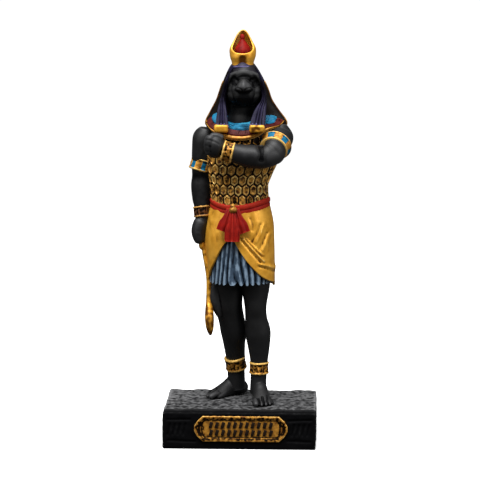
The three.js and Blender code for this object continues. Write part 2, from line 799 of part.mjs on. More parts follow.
function strokes() {
  const made = [];
  const run = plateWidth * 0.64;
  const tall = plateHeight * 0.235;
  for (let row = 0; row < strokeRows; row++) {
    for (let n = 0; n < strokesPerRow; n++) {
      const form = new THREE.BoxGeometry(strokeWidth, 2 * strokeDepth, tall);
      form.rotateY(16 * turn);
      form.translate(
        plateShift + run * (n / (strokesPerRow - 1) - 0.5),
        -plinthDepth / 2 - plateProud + strokeDepth,
        plateRise + (row - 0.5) * tall * 1.3,
      );
      made.push(solid(form));
    }
  }
  return made;
}

function plinth() {
  const plate = onFront(plateShape(), -0.5, plateProud);
  const panel = onFront(plateShape(0.75), plateProud - strokeDepth, plateProud + 1);
  return join(block(), plate).subtract(panel).add(join(strokes()));
}

// The finished casting as a three.js mesh.
function meshOf(made, name, material) {
  const { numProp, vertProperties, triVerts } = made.getMesh();
  const at = new Float32Array((vertProperties.length / numProp) * 3);
  for (let i = 0; i < at.length / 3; i++) {
    at.set(vertProperties.subarray(i * numProp, i * numProp + 3), i * 3);
  }
  const geometry = new THREE.BufferGeometry();
  geometry.setAttribute("position", new THREE.BufferAttribute(at, 3));
  geometry.setIndex(new THREE.BufferAttribute(triVerts, 1));
  const mesh = new THREE.Mesh(geometry, material);
  mesh.name = name;
  return mesh;
}

const blackResin = new THREE.MeshStandardMaterial({ color: 0x1c1b1d, roughness: 0.55, metalness: 0 });
const group = new THREE.Group();
group.add(meshOf(filled(join(plinth(), figure())), "falcon_god_figure", blackResin));

export default group;
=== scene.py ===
# %% [markdown]
# A falcon-headed god, 90 mm tall: one casting of resin, painted by hand. The casting is one
# solid in the frame. Here it is made again in the pieces that the painter sees, each with its
# own paint: skin, wig, crown, collar, corselet, sash, kilt, underskirt, cuffs, sword, plinth.
# Everything is measured in millimetres above the soles of the feet, and turned to metres once.

# %% Frame
import math

import bpy
import numpy as np
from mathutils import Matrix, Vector, noise


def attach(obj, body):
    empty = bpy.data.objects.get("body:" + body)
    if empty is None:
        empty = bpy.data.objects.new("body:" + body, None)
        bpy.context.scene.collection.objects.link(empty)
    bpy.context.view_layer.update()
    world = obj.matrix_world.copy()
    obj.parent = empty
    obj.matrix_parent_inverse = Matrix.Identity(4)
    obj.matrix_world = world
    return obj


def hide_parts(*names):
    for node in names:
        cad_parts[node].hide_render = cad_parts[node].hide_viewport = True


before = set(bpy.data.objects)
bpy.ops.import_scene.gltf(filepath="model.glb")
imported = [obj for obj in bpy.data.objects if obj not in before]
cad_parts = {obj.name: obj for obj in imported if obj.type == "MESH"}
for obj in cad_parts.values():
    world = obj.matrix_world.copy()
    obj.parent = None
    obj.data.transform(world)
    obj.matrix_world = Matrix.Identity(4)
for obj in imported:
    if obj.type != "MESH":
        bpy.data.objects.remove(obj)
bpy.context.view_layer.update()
CASTING = "falcon_god_figure"
MM = 0.001
PLINTH_WIDTH, PLINTH_DEPTH, PLINTH_HEIGHT = 33.2, 23.6, 8.1
SOLES = np.array([0, 0, PLINTH_HEIGHT])
TAU = 2 * math.pi

# %% [markdown]
# The photograph looks at the figure from a little above its middle, through a long lens, so
# that its upright lines stay upright. A camera could be moved about by eye. It is placed here by
# two angles and a distance from the point it looks at, because then it can be fitted to the
# plinth's corners one number at a time.

# %% Camera
look_at = Vector((-0.28, 0, 44.1)) * MM
azimuth, elevation = math.radians(2.42), math.radians(8.43)
DISTANCE, LENS = 468, 160.4
back = Vector((math.sin(azimuth) * math.cos(elevation),
               -math.cos(azimuth) * math.cos(elevation), math.sin(elevation)))
bpy.ops.object.camera_add(location=look_at + back * DISTANCE * MM)
camera = bpy.context.object
camera.rotation_euler = back.to_track_quat("Z", "Y").to_euler()
camera.data.lens = LENS
camera.data.clip_start = 0.01
scene = bpy.context.scene
scene.camera = camera
print("camera at", [round(c / MM) for c in camera.location], "mm")

# %% [markdown]
# A small painted figure is photographed on white paper under a large softbox, with two small
# ones that draw a soft edge down its left and right. A white world alone would light it from
# all round and turn the black paint grey, so the world is white to the camera and dim to the
# figure.

# %% White world
def add(tree, kind, inputs=(), **settings):
    """Adds a node: each input is given a value, or the socket that it is linked to."""
    made = tree.nodes.new(kind)
    for name, value in settings.items():
        setattr(made, name, value)
    for name, value in dict(inputs).items():
        if isinstance(value, bpy.types.NodeSocket):
            tree.links.new(value, made.inputs[name])
        else:
            made.inputs[name].default_value = value
    return made


scene.view_settings.view_transform = "Standard"
world = bpy.data.worlds.new("white_studio")
world.use_nodes = True
sky = world.node_tree.nodes["Background"]
sky.inputs["Color"].default_value = (1, 1, 1, 1)
# One world, two strengths: full for what the camera sees, a dim fill for everything else.
ray = add(world.node_tree, "ShaderNodeLightPath").outputs["Is Camera Ray"]
FILL, FULL = 0.12, 1.05
strength = add(world.node_tree, "ShaderNodeMapRange",
               {"Value": ray, "To Min": FILL, "To Max": FULL}).outputs["Result"]
world.node_tree.links.new(strength, sky.inputs["Strength"])
scene.world = world
print("world: strength", FULL, "for the camera,", FILL, "for the figure")


# %% Lamps and floor
def lamp(name, place, size, watts):
    bpy.ops.object.light_add(type="AREA", location=Vector(place) * MM)
    light = bpy.context.object
    light.name = name
    light.rotation_euler = (Vector(place) * MM - look_at).to_track_quat("Z", "Y").to_euler()
    light.data.size = size * MM
    light.data.energy = watts


lamp("softbox_over", (-100, -400, 1150), 800, 34)
lamp("softbox_left", (-520, -420, 420), 240, 1.1)
lamp("softbox_right", (560, -340, 360), 260, 2.0)

bpy.ops.object.select_all(action="DESELECT")
bpy.ops.mesh.primitive_circle_add(vertices=96, radius=0.4, fill_type="NGON")
floor = bpy.context.object
floor.name = "floor"
# The sheet takes the figure's shadow, and its own glow is kept off the black paint.
floor.visible_diffuse = False
floor.visible_glossy = False


# %% [markdown]
# A sculptor in clay starts from a lump and draws the form out of it. Here each piece starts as
# a primitive and is shaped in edit mode, or by moving its vertices with short formulas, which
# give the same result each time. Everything is deselected before a primitive is added, because
# an operator acts on all that is selected. Vertices are read and written in millimetres above
# the soles.

# %% Working on one piece
def fresh():
    """Deselects everything, so that the next primitive is the only thing selected."""
    bpy.ops.object.select_all(action="DESELECT")


def settled(name):
    """Names the primitive just added, and applies its place, turn and size to its mesh."""
    bpy.ops.object.transform_apply()
    bpy.context.object.name = name
    return bpy.context.object


def alone(piece):
    fresh()
    piece.select_set(True)
    bpy.context.view_layer.objects.active = piece
    return piece


def points(piece):
    at = np.empty(len(piece.data.vertices) * 3)
    piece.data.vertices.foreach_get("co", at)
    return at.reshape(-1, 3) / MM - SOLES


def place_points(piece, at):
    piece.data.vertices.foreach_set("co", ((at + SOLES) * MM).ravel())
    piece.data.update()


def normals(piece):
    out = np.empty(len(piece.data.vertices) * 3)
    piece.data.vertex_normals.foreach_get("vector", out)
    return out.reshape(-1, 3)


def polygon(name, corners):
    """One flat face with its corners at these points."""
    fresh()
    bpy.ops.mesh.primitive_circle_add(vertices=len(corners), radius=MM, fill_type="NGON")
    bpy.context.object.name = name
    place_points(bpy.context.object, np.array(corners, float))
    return bpy.context.object


def edit(piece, *steps):
    """Runs edit-mode steps on the whole piece, or on the face that the last step left."""
    alone(piece)
    bpy.ops.object.mode_set(mode="EDIT")
    bpy.ops.mesh.select_all(action="SELECT")
    for step in steps:
        step()
    bpy.ops.object.mode_set(mode="OBJECT")


def extrude(by):
    return lambda: bpy.ops.mesh.extrude_region_move(
        TRANSFORM_OT_translate={"value": [c * MM for c in by]})


def inset(width, rise=0.0):
    return lambda: bpy.ops.mesh.inset(thickness=width * MM, depth=rise * MM)


def close(piece):
    """Merges doubles and turns every face outwards."""
    edit(piece, lambda: bpy.ops.mesh.remove_doubles(threshold=1e-4 * MM),
         lambda: bpy.ops.mesh.normals_make_consistent(inside=False))


def modify(piece, kind, **settings):
    alone(piece)
    bpy.ops.object.modifier_add(type=kind)
    modifier = piece.modifiers[-1]
    for name, value in settings.items():
        setattr(modifier, name, value)
    bpy.ops.object.modifier_apply(modifier=modifier.name)


def join(name, pieces):
    alone(pieces[0])
    if len(pieces) > 1:
        for piece in pieces:
            piece.select_set(True)
        bpy.ops.object.join()
    pieces[0].name = name
    return pieces[0]


# %% [markdown]
# Most forms of the figure are skins round a line: a limb, a skirt, a cuff, a lock of hair. A
# grid is the best start for them. It is rolled up round the line, its long edges are merged,
# and its two ends are drawn together into a cap. Its UV map then says how far round and how
# far along each face lies, which is what the painter needs for bands and panels.

# %% Smooth curves and rolled skins
def glide(values, t):
    """A smooth curve through evenly spaced rows of numbers, read at shares t from 0 to 1."""
    rows = np.array(values, float)
    last = len(rows) - 1
    x = np.clip(t, 0, 1) * last
    i = np.minimum(x.astype(int), last - 1)
    s = (x - i)[:, None]
    a, b, c, d = rows[np.maximum(i - 1, 0)], rows[i], rows[i + 1], rows[np.minimum(i + 2, last)]
    p, q = (c - a) / 2, (d - b) / 2
    return b + s * (p + s * (3 * (c - b) - 2 * p - q + s * (2 * (b - c) + p + q)))


def wrap(name, place, around, along):
    """A closed skin: place(angle, share along) gives its points, and its ends are capped."""
    fresh()
    bpy.ops.mesh.primitive_grid_add(x_subdivisions=around, y_subdivisions=along + 2, size=2)
    piece = settled(name)
    flat = (points(piece) + SOLES) * MM
    rows = len(np.unique(flat[:, 1].round(6))) - 1
    angle = (flat[:, 0] + 1) * math.pi
    share = ((flat[:, 1] + 1) / 2 * rows - 1) / (rows - 2)
    at = place(angle, np.clip(share, 0, 1))
    ring = np.linspace(0, TAU, 64, endpoint=False)
    for cap, end in ((share < -1e-6, 0.0), (share > 1 + 1e-6, 1.0)):
        at[cap] = place(ring, np.full(64, end)).mean(0)
    place_points(piece, at)
    uv = np.empty(len(piece.data.loops) * 2)
    layer = piece.data.uv_layers.active.data
    layer.foreach_get("uv", uv)
    uv[1::2] = (uv[1::2] * rows - 1) / (rows - 2)
    layer.foreach_set("uv", uv)
    close(piece)
    return piece


def unit(v):
    return v / np.linalg.norm(v, axis=-1, keepdims=True)


def limb(name, sections, around=32, along=40, side=(1, 0, 0), out=None, blunt=0.0):
    """A skin round a bent line of sections: x, y, z, half size towards `side` and across it.
    out(angle, share) lifts it, and blunt is the share of its length that each end rounds off."""
    sections = np.array(sections, float)

    def place(angle, t):
        row = glide(sections, t)
        ahead = unit(glide(sections, t + 1e-3)[:, :3] - glide(sections, t - 1e-3)[:, :3])
        towards = unit(np.array(side) - ahead * (ahead @ np.array(side, float))[:, None])
        across = np.cross(ahead, towards)
        shrink = 1.0
        if blunt:
            into = np.clip(np.minimum(t, 1 - t) / blunt, 0, 1)
            shrink = np.sqrt(np.clip(1 - (1 - into) ** 2, 0.0004, 1))
        lift = out(angle, t) * shrink if out else 0
        wide, deep = row[:, 3] * shrink + lift, row[:, 4] * shrink + lift
        return (row[:, :3] + towards * (wide * np.sin(angle))[:, None]
                + across * (deep * np.cos(angle))[:, None])

    return wrap(name, place, around, along)


def ring_point(rings, angle, t, out=0.0):
    """A point of a form of level rings: z, x, y, half width and half depth, from the top down."""
    z, x, y, wide, deep = glide(rings, t).T
    return np.stack([x + (wide + out) * np.sin(angle), y - (deep + out) * np.cos(angle), z], 1)


def ball(name, centre, radii, subdivisions=4):
    fresh()
    bpy.ops.mesh.primitive_ico_sphere_add(
        subdivisions=subdivisions, radius=MM,
        location=(np.array(centre) + SOLES) * MM, scale=radii)
    return settled(name)


def cast(name, pieces, grain, rounds):
    """Joins overlapping forms into one skin of even small faces, as a casting is one skin."""
    piece = join(name, pieces)
    modify(piece, "REMESH", mode="VOXEL", voxel_size=grain * MM, use_smooth_shade=True)
    modify(piece, "SMOOTH", factor=0.5, iterations=rounds)
    return piece


# %% [markdown]
# The carver of the model pressed creases, eye pits and toes into it with a tool. They could be
# sculpted by hand here too. Instead the vertices are pushed along their normals, out or in, by
# an amount that fades with the distance from a line, so that each crease stays a line with a
# width and a depth that can be changed. A line of x and z alone is carved as seen from the
# front.

# %% Carving
def near(at, line, width, axes=(0, 1, 2)):
    """Weight from 1 on a line to 0 a few widths away from it."""
    line = np.atleast_2d(np.array(line, float))
    if len(line) > 1:
        length = np.linalg.norm(np.diff(line, axis=0), axis=1).sum()
        line = glide(line, np.linspace(0, 1, max(3, int(length / width * 3))))
    spots = at[:, axes]
    weight = np.zeros(len(at))
    beside = ((spots > line.min(0) - 2.5 * width) & (spots < line.max(0) + 2.5 * width)).all(1)
    gap = ((spots[beside][:, None] - line[None]) ** 2).sum(2).min(1)
    weight[beside] = np.exp(-gap / width ** 2)
    return weight


def seen(at, line, width):
    """The same for a line of x and z, as seen from the front."""
    return near(at, line, width, (0, 2))


def carve(piece, amount):
    """Moves the skin out along its normals by amount(points, normals) millimetres."""
    at, out = points(piece), normals(piece)
    place_points(piece, at + out * amount(at, out)[:, None])


def wrapped(angle):
    """The same angle, between minus half a turn and half a turn."""
    return np.arctan2(np.sin(angle), np.cos(angle))


def rough(at, size, seed=0.0):
    """Perlin noise from -1 to 1 at a grain of `size` millimetres."""
    spot = at / size + seed
    return np.array([noise.noise(Vector(p)) for p in spot])


# %% [markdown]
# A painted casting gets a dark wash that stays in the hollows and a light dry brush that
# catches the edges. A shader could find the creases by itself with pointiness, but that changes
# with how fine each mesh is. So every piece carries an attribute, hollow: 1 in a crease, -1 on a
# ridge. It is the gap between the skin and a smoothed copy of it, and a bias adds what the
# painter did by hand. On black paint the wash is painted shade and the dry brush is partly a
# painted highlight. Some biases paint shade where the figure stands in shade, and highlights
# where light falls on it.

# %% Hollows, paint and frame
def weather(piece, reach, full, bias):
    """Writes hollow: creases up to `reach` mm wide count, and `full` mm deep counts as 1."""
    ends = np.empty(len(piece.data.edges) * 2, int)
    piece.data.edges.foreach_get("vertices", ends)
    a, b = ends.reshape(-1, 2).T
    at = points(piece)
    n = len(at)
    gap = np.median(np.linalg.norm(at[a] - at[b], axis=1))
    count = (np.bincount(a, minlength=n) + np.bincount(b, minlength=n))[:, None]
    soft = at
    rounds = int(np.clip(2 * (reach / gap) ** 2, 2, 60))
    for _ in range(rounds):
        total = np.stack([np.bincount(a, soft[b, k], n) + np.bincount(b, soft[a, k], n)
                          for k in range(3)], 1)
        soft = (soft + total / count) / 2
    hollow = ((soft - at) * normals(piece)).sum(1) / full
    if bias:
        hollow = hollow + bias(at, normals(piece))
    hollow = np.clip(hollow, -1, 1)
    layer = piece.data.attributes.new("hollow", "FLOAT", "POINT")
    layer.data.foreach_set("value", hollow)


def dress(piece, *paints, reach=0.35, crisp=None, full=0.06, bias=None):
    """Finishes a piece: hollows, shading, paints, and its place in the frame."""
    if reach:
        weather(piece, reach, full, bias)
    alone(piece)
    if crisp:
        bpy.ops.object.shade_smooth_by_angle(angle=math.radians(crisp))
    else:
        bpy.ops.object.shade_smooth()
    for paint in paints:
        piece.data.materials.append(paint)
    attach(piece, "root")
    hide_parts(CASTING)
    triangles = sum(len(p.vertices) - 2 for p in piece.data.polygons)
    print(f"{piece.name}: {triangles} triangles")


def paint_cells(piece, which):
    """Gives each face the paint that which(share round, share along) names."""
    mesh = piece.data
    uv = np.empty(len(mesh.loops) * 2)
    mesh.uv_layers.active.data.foreach_get("uv", uv)
    starts = np.empty(len(mesh.polygons), int)
    sizes = np.empty(len(mesh.polygons), int)
    mesh.polygons.foreach_get("loop_start", starts)
    mesh.polygons.foreach_get("loop_total", sizes)
    u, v = (np.add.reduceat(uv.reshape(-1, 2), starts) / sizes[:, None]).T
    mesh.polygons.foreach_set("material_index", which(u, v).astype(int))


def paint_places(piece, which):
    """Gives each face the paint that which(centre) names, for skins that were remeshed."""
    centre = np.empty(len(piece.data.polygons) * 3)
    piece.data.polygons.foreach_get("center", centre)
    at = centre.reshape(-1, 3) / MM - SOLES
    piece.data.polygons.foreach_set("material_index", which(at).astype(int))


# %% [markdown]
# The paints are acrylics brushed on the resin: each has its own colour, mottled where the brush
# ran dry, a darker wash in the hollows and a lighter dry brush on the edges, which also carry
# the painted shade and painted highlights. An image could be painted for each piece, but nodes
# need no image and give the same finish on a piece of any form. Gold paint is flakes of mica in a
# binder, so it is only a third metal. One function turns a hex colour to linear, and one makes
# a paint from four colours.

# %% Paint maker
def linear(hex_colour):
    parts = [int(hex_colour[i:i + 2], 16) / 255 for i in (1, 3, 5)]
    return (*[c / 12.92 if c <= 0.04045 else ((c + 0.055) / 1.055) ** 2.4 for c in parts], 1)


def acrylic(name, base, other, wash, edge, metal=0.0, roughness=0.5, wash_and_shade_span=(0.15, 0.8),
            brush_and_light_span=(0.35, 1.0), brush_and_light_amount=0.8, mottle=1.4, blur=0.15, grain=0.12, bump=0.012,
            sheen=0.25):
    """Brushed paint in four colours. Mottle is the size of the brush marks in mm, grain that of
    the paint's own lumps and bump their height. The two spans are spans of hollow: over the
    wash and shade span the wash colour comes in, as wash and as painted shade, and over the
    brush and light span the edge colour comes in, as dry brush and as painted highlight."""
    made = bpy.data.materials.new(name)
    made.use_nodes = True
    tree = made.node_tree
    shader = tree.nodes["Principled BSDF"]
    where = add(tree, "ShaderNodeTexCoord").outputs["Object"]
    blotch = add(tree, "ShaderNodeTexNoise", {"Vector": where, "Scale": 1 / (mottle * MM),
                                             "Detail": 4.0}).outputs["Fac"]
    fine = add(tree, "ShaderNodeTexNoise", {"Vector": where, "Scale": 1 / (grain * MM),
                                           "Detail": 2.0}).outputs["Fac"]
    hollow = add(tree, "ShaderNodeAttribute", attribute_name="hollow").outputs["Fac"]
    broken = add(tree, "ShaderNodeMath", {0: blotch, 1: 0.7, 2: hollow},
                 operation="MULTIPLY_ADD").outputs[0]
    wash_and_shade = add(tree, "ShaderNodeMapRange", {
        "Value": broken, "From Min": wash_and_shade_span[0] + 0.35, "From Max": wash_and_shade_span[1] + 0.35,
    }, interpolation_type="SMOOTHSTEP").outputs[0]
    dry_brush_and_light = add(tree, "ShaderNodeMapRange", {
        "Value": broken, "From Min": 0.35 - brush_and_light_span[0], "From Max": 0.35 - brush_and_light_span[1],
        "To Max": brush_and_light_amount}, interpolation_type="SMOOTHSTEP").outputs[0]
    spread = add(tree, "ShaderNodeMapRange", {"Value": blotch, "From Min": 0.5 - blur,
                                              "From Max": 0.5 + blur}).outputs[0]
    colour = linear(base)
    for share, coat in ((spread, other), (dry_brush_and_light, edge), (wash_and_shade, wash)):
        colour = add(tree, "ShaderNodeMix", {0: share, 6: colour, 7: linear(coat)},
                     data_type="RGBA").outputs[2]
    tree.links.new(colour, shader.inputs["Base Color"])
    gloss = add(tree, "ShaderNodeMapRange", {"Value": fine, "To Min": roughness - 0.07,
                                             "To Max": roughness + 0.09}).outputs[0]
    tree.links.new(gloss, shader.inputs["Roughness"])
    shader.inputs["Metallic"].default_value = metal
    # The wash dries matt, so the hollows, and the places painted in shade, shine less than the
    # open skin.
    shine = add(tree, "ShaderNodeMapRange", {"Value": wash_and_shade, "To Min": sheen,
                                             "To Max": sheen * 0.25}).outputs[0]
    tree.links.new(shine, shader.inputs["Specular IOR Level"])
    lumps = add(tree, "ShaderNodeBump", {"Height": fine, "Distance": bump * MM,
                                         "Strength": 0.6}).outputs[0]
    tree.links.new(lumps, shader.inputs["Normal"])
    return made


# %% Paints
# Matt black acrylic, brushed thin: nearly no colour, a soft grey sheen where light grazes it.
# Its darker wash is painted shade, and its grey edge colour is dry brush and painted highlight.
black = acrylic("black_matt_acrylic", "#0d0d0e", "#121213", "#040405", "#2c2c2d",
                roughness=0.54, sheen=0.32)
# Gold mica paint over black: warm and part metallic, brown where the wash stays.
gold = acrylic("gold_mica_paint", "#dfa43a", "#c98d28", "#5a340e", "#f0cd78", metal=0.3,
               roughness=0.4, mottle=1.7)
# Old gold on the cuffs, collar and plate: the same mica dulled with a brown glaze.
old_gold = acrylic("antique_gold_paint", "#bd8632", "#7a4c18", "#150b04", "#e6bb66", metal=0.3,
                   roughness=0.42, mottle=1.1)
# Gold almost lost under umber: brown, with gold on the highest edges alone.
umber_gold = acrylic("umber_over_gold", "#6e411a", "#45260e", "#120803", "#c8964a", metal=0.2,
                     roughness=0.45, mottle=1.0)
# Gold on the scales, so thin over brown that it comes in flecks.
flecked_gold = acrylic("flecked_gold_paint", "#dba046", "#4a290e", "#150b04", "#f6d685",
                       metal=0.3, roughness=0.4, mottle=0.8, blur=0.1, brush_and_light_amount=0.9)
# Red acrylic on the sash and bulb: deep and even, with hardly any shine.
red = acrylic("red_acrylic", "#84140d", "#6c0f0b", "#2c0403", "#a92c1d", sheen=0.08)
# Turquoise acrylic: the brightest colour, lighter where the brush dragged over the threads.
turquoise = acrylic("turquoise_acrylic", "#146587", "#105271", "#041b28", "#47a9cb",
                    roughness=0.45, brush_and_light_amount=0.6, sheen=0.12)
# Brick-red acrylic in the collar's second band: dull, and pink on the beads.
brick_red = acrylic("brick_red_acrylic", "#481513", "#3a100f", "#170403", "#7c3a30", sheen=0.1)
# Slate-blue acrylic, dry-brushed pale on the pleats, with a wide dark wash between them.
slate_blue = acrylic("slate_blue_acrylic", "#364759", "#2a3848", "#0c131b", "#7b8fa2",
                     wash_and_shade_span=(0.0, 0.75), brush_and_light_span=(0.3, 0.95), mottle=0.7)
# Violet-grey acrylic on the hair: only the strands' ridges are light.
hair_violet = acrylic("violet_grey_acrylic", "#252139", "#1c192e", "#08060f", "#676189",
                      wash_and_shade_span=(0.0, 0.6), brush_and_light_span=(0.45, 1.0), sheen=0.15)
# Where the violet is dry on the cap, the black shows through it.
thin_violet = acrylic("thin_violet_over_black", "#1a181d", "#131216", "#060507", "#4c4955",
                      sheen=0.2)
# Black acrylic on the plinth, dry-brushed grey: rough as stone, and its grain is drawn coarse
# enough to show.
stone = acrylic("stone_black_dry_brushed", "#0e0e0f", "#141415", "#060607", "#6e6e6f",
                roughness=0.62, mottle=0.8, grain=0.16, bump=0.03, sheen=0.15)
# Dark umber wash, pooled where no gold was brushed.
ink = acrylic("dark_umber_wash", "#0a0604", "#100905", "#060302", "#190f08", sheen=0.15)
# White paper: even and matt, with a coarse faint grain.
white_paper = acrylic("white_paper", "#ffffff", "#ffffff", "#ffffff", "#ffffff", roughness=0.9,
                      mottle=40, grain=4, bump=0.0)
floor.data.materials.append(white_paper)
print("paints:", len(bpy.data.materials))

# %% [markdown]
# The plinth is a block of cast stone: its front has shallow bands and marks, its top is pitted
# and dry-brushed grey, and its edges are uneven. A displacement in the material would leave its
# outline straight. So a bevelled cube is remeshed into small even faces, and noise pushes its
# skin in and out. The underside stays flat, because the figure stands on it.

# %% Plinth
fresh()
bpy.ops.mesh.primitive_cube_add(size=MM, location=(0, 0, PLINTH_HEIGHT / 2 * MM),
                                scale=(PLINTH_WIDTH, PLINTH_DEPTH, PLINTH_HEIGHT))
plinth = settled("plinth")
modify(plinth, "BEVEL", width=0.22 * MM, segments=2)
plinth = cast("plinth", [plinth], 0.23, 1)

# Lines of x and z on the front, and their width: four bands, and eight marks that lean one way.
FRONT_MARKS = [
    ([(-15.6, -1.6), (-10.6, -1.5)], 0.16), ([(-15.4, -6.2), (-9.5, -6.4)], 0.16),
    ([(10.6, -1.7), (15.7, -1.5)], 0.16), ([(10.4, -6.2), (15.4, -6.3)], 0.16),
]
FRONT_MARKS += [([(x, -2.6), (x - 0.5, -4.9)], 0.18)
                for x in (-15.0, -13.9, -12.8, -11.6, 11.9, 13.0, 14.1, 15.2)]


def stone_skin(at, out):
    """Pits and waves on the top, waves and marks on the sides, nothing underneath."""
    top, front = np.clip(out[:, 2], 0, 1), np.clip(-out[:, 1], 0, 1)
    pits = np.minimum(rough(at, 0.9) + 0.1, 0) * 0.12 + rough(at, 0.45, 7) * 0.04
    waves = rough(at * [1, 1, 0.4], 3.6, 3) * 0.2 + rough(at, 1.6, 5) * 0.14
    marks = -0.12 * np.clip((-7.4 - at[:, 2]) / 0.6, 0, 1) ** 2
    for line, width in FRONT_MARKS:
        marks = marks - 0.3 * seen(at, line, width) * front
    return (top * (pits + waves) + (1 - top) * (waves * 0.5 + rough(at, 0.9, 11) * 0.035)
            + marks) * (out[:, 2] > -0.5)


def stone_shade_and_dry_brush(at, out):
    """Painted shade on the front; on the top a grey dry brush with painted light from above,
    darker towards the front edge and a little lighter at the back.
    """
    top = np.clip(out[:, 2] * 2 - 0.6, 0, 1)
    front_edge = np.clip((-8.2 - at[:, 1]) / 2.4, 0, 1)
    return 0.25 + 0.8 * np.clip(-out[:, 1], 0, 1) + top * (
        0.2 * rough(at, 1.1, 6) - 0.85 - 0.1 * (at[:, 1] > 2) + 1.5 * front_edge)


carve(plinth, stone_skin)
dress(plinth, stone, reach=0.5, full=0.16, bias=stone_shade_and_dry_brush)

# %% [markdown]
# The plate on the plinth is a long gold panel with blunt points, a raised rim and a sunk field.
# A cube would need its corners cut one by one. A flat polygon in the plate's outline is extruded
# instead, inset four times, and its inner faces are pushed in.

# %% Plate
PLATE_X, PLATE_Z, PLATE_PROUD = 0.4, 4.6 - PLINTH_HEIGHT, 0.45
PLATE_WIDTH, PLATE_HEIGHT = 20.2, 5.6
half_wide, half_high = PLATE_WIDTH / 2, PLATE_HEIGHT / 2
point = PLATE_HEIGHT * 0.33
corner = [(half_wide - point, half_high), (half_wide - point * 0.35, half_high * 0.6),
          (half_wide, half_high * 0.2)]
corner += [(x, -z) for x, z in corner[::-1]]
outline = (corner + [(-x, -z) for x, z in corner])[::-1]
front = -PLINTH_DEPTH / 2
SUNK = 0.4
plate = polygon("plate", [(x + PLATE_X, front + SUNK, z + PLATE_Z) for x, z in outline])
edit(plate, extrude((0, -(SUNK + PLATE_PROUD), 0)), inset(0.42), inset(0.16, -0.12),
     inset(0.2), inset(0.1, -0.12))
close(plate)
modify(plate, "BEVEL", width=0.07 * MM, segments=2)
plate = cast("name_plate", [plate], 0.11, 1)


def plate_skin(at, out):
    """Brush-worn waves, and a bowed groove at each end."""
    ends = sum(seen(at, [(PLATE_X + side * 8.25, PLATE_Z + 1.2), (PLATE_X + side * 8.5, PLATE_Z),
                         (PLATE_X + side * 8.25, PLATE_Z - 1.2)], 0.12) for side in (-1, 1))
    return rough(at, 1.3, 5) * 0.035 + rough(at, 0.5, 2) * 0.02 - 0.1 * ends * (out[:, 1] < -0.5)


def plate_wash(at, out):
    """Wet towards the rim, in spots, and thin in the middle."""
    rim = np.maximum(abs(at[:, 0] - PLATE_X) - 7.6, abs(at[:, 2] - PLATE_Z) * 2 - 3.6)
    return (0.7 + 1.2 * rough(at, 0.5, 8)) * np.clip(rim, 0, 1) + 0.2


carve(plate, plate_skin)
dress(plate, old_gold, reach=0.3, full=0.045, bias=plate_wash)

# %% [markdown]
# On the plate's field stand two rows of short dark strokes that all lean the same way. Each is
# a small cube, turned and sunk into the field, and all are bevelled at once after they are
# joined.

# %% Strokes on the plate
STROKE_ROWS, STROKES, LEAN = 2, 11, 16
run, tall = PLATE_WIDTH * 0.64, PLATE_HEIGHT * 0.235
strokes = []
for row in range(STROKE_ROWS):
    for n in range(STROKES):
        fresh()
        bpy.ops.mesh.primitive_cube_add(
            size=MM, scale=(0.68, 0.34, tall),
            location=Vector((PLATE_X + run * (n / (STROKES - 1) - 0.5), front - 0.3,
                             PLATE_Z + PLINTH_HEIGHT + (row - 0.5) * tall * 1.3)) * MM,
            rotation=(0, math.radians(LEAN), 0))
        strokes.append(settled("stroke"))
strokes = join("plate_strokes", strokes)
modify(strokes, "BEVEL", width=0.06 * MM, segments=2)
dress(strokes, ink, reach=0.1, crisp=40)

# %% [markdown]
# Bare legs and feet: the left leg carries the weight, the right one is eased back with its foot
# turned out. They could be drawn from one box by extruding, but where forms meet, as toes do
# with a foot, faces get in each other's way. Here each form is a skin of its own round a bent
# line, and a voxel remesh melts them into one, as a sculptor smears clay over a joint.

# %% Feet
# Along the sole from heel to toes: distance from the heel, half width, height of the instep.
SOLE = [(-0.1, 1.1, 1.9), (1.0, 1.7, 3.2), (2.9, 1.75, 4.4), (5.0, 1.8, 3.3),
        (6.8, 2.1, 2.3), (8.2, 2.4, 1.55), (8.9, 2.2, 1.1)]
# Where the toes lie across the foot, from the big toe on.
TOES = [1.75, 0.55, -0.45, -1.38, -2.2]


def foot(heel, out, big_toe_side):
    """Forms of a foot turned out by `out` degrees, and the lines between its toes."""
    a = math.radians(out)
    ahead, across = np.array([math.sin(a), -math.cos(a)]), np.array([math.cos(a), math.sin(a)])

    def at(s, w, z):
        return (*(np.array(heel) + ahead * s + across * w), z)

    forms = [limb("instep", [(*at(s, 0, (top - 0.3) / 2), (top + 0.3) / 2, half)
                             for s, half, top in SOLE], side=(0, 0, 1))]
    gaps = []
    for n, place in enumerate(TOES):
        size = 0.7 if n == 0 else 0.56 - 0.03 * n
        w = place * big_toe_side
        reach = 11.0 - 0.15 * n * n
        forms.append(limb("toe", [
            (*at(reach - 3.0, w * 0.92, size * 1.7), size * 0.7, size * 0.75),
            (*at(reach - 1.5, w, size * 1.55), size * 0.85, size * 0.82),
            (*at(reach, w, size * 0.8), size * 0.8, size * 0.86),
        ], 20, 16, side=(0, 0, 1), blunt=0.25))
        if n:
            # The first gap lies nearer the second toe, because the big toe is broad.
            between = (w + TOES[n - 1] * big_toe_side) / 2 + 0.1 * (n == 1) * -big_toe_side
            gaps.append([at(reach - 2.6, between, 1.7), at(reach - 1.2, between, 1.1),
                         at(reach + 0.2, between, 0.4)])
    return forms, gaps


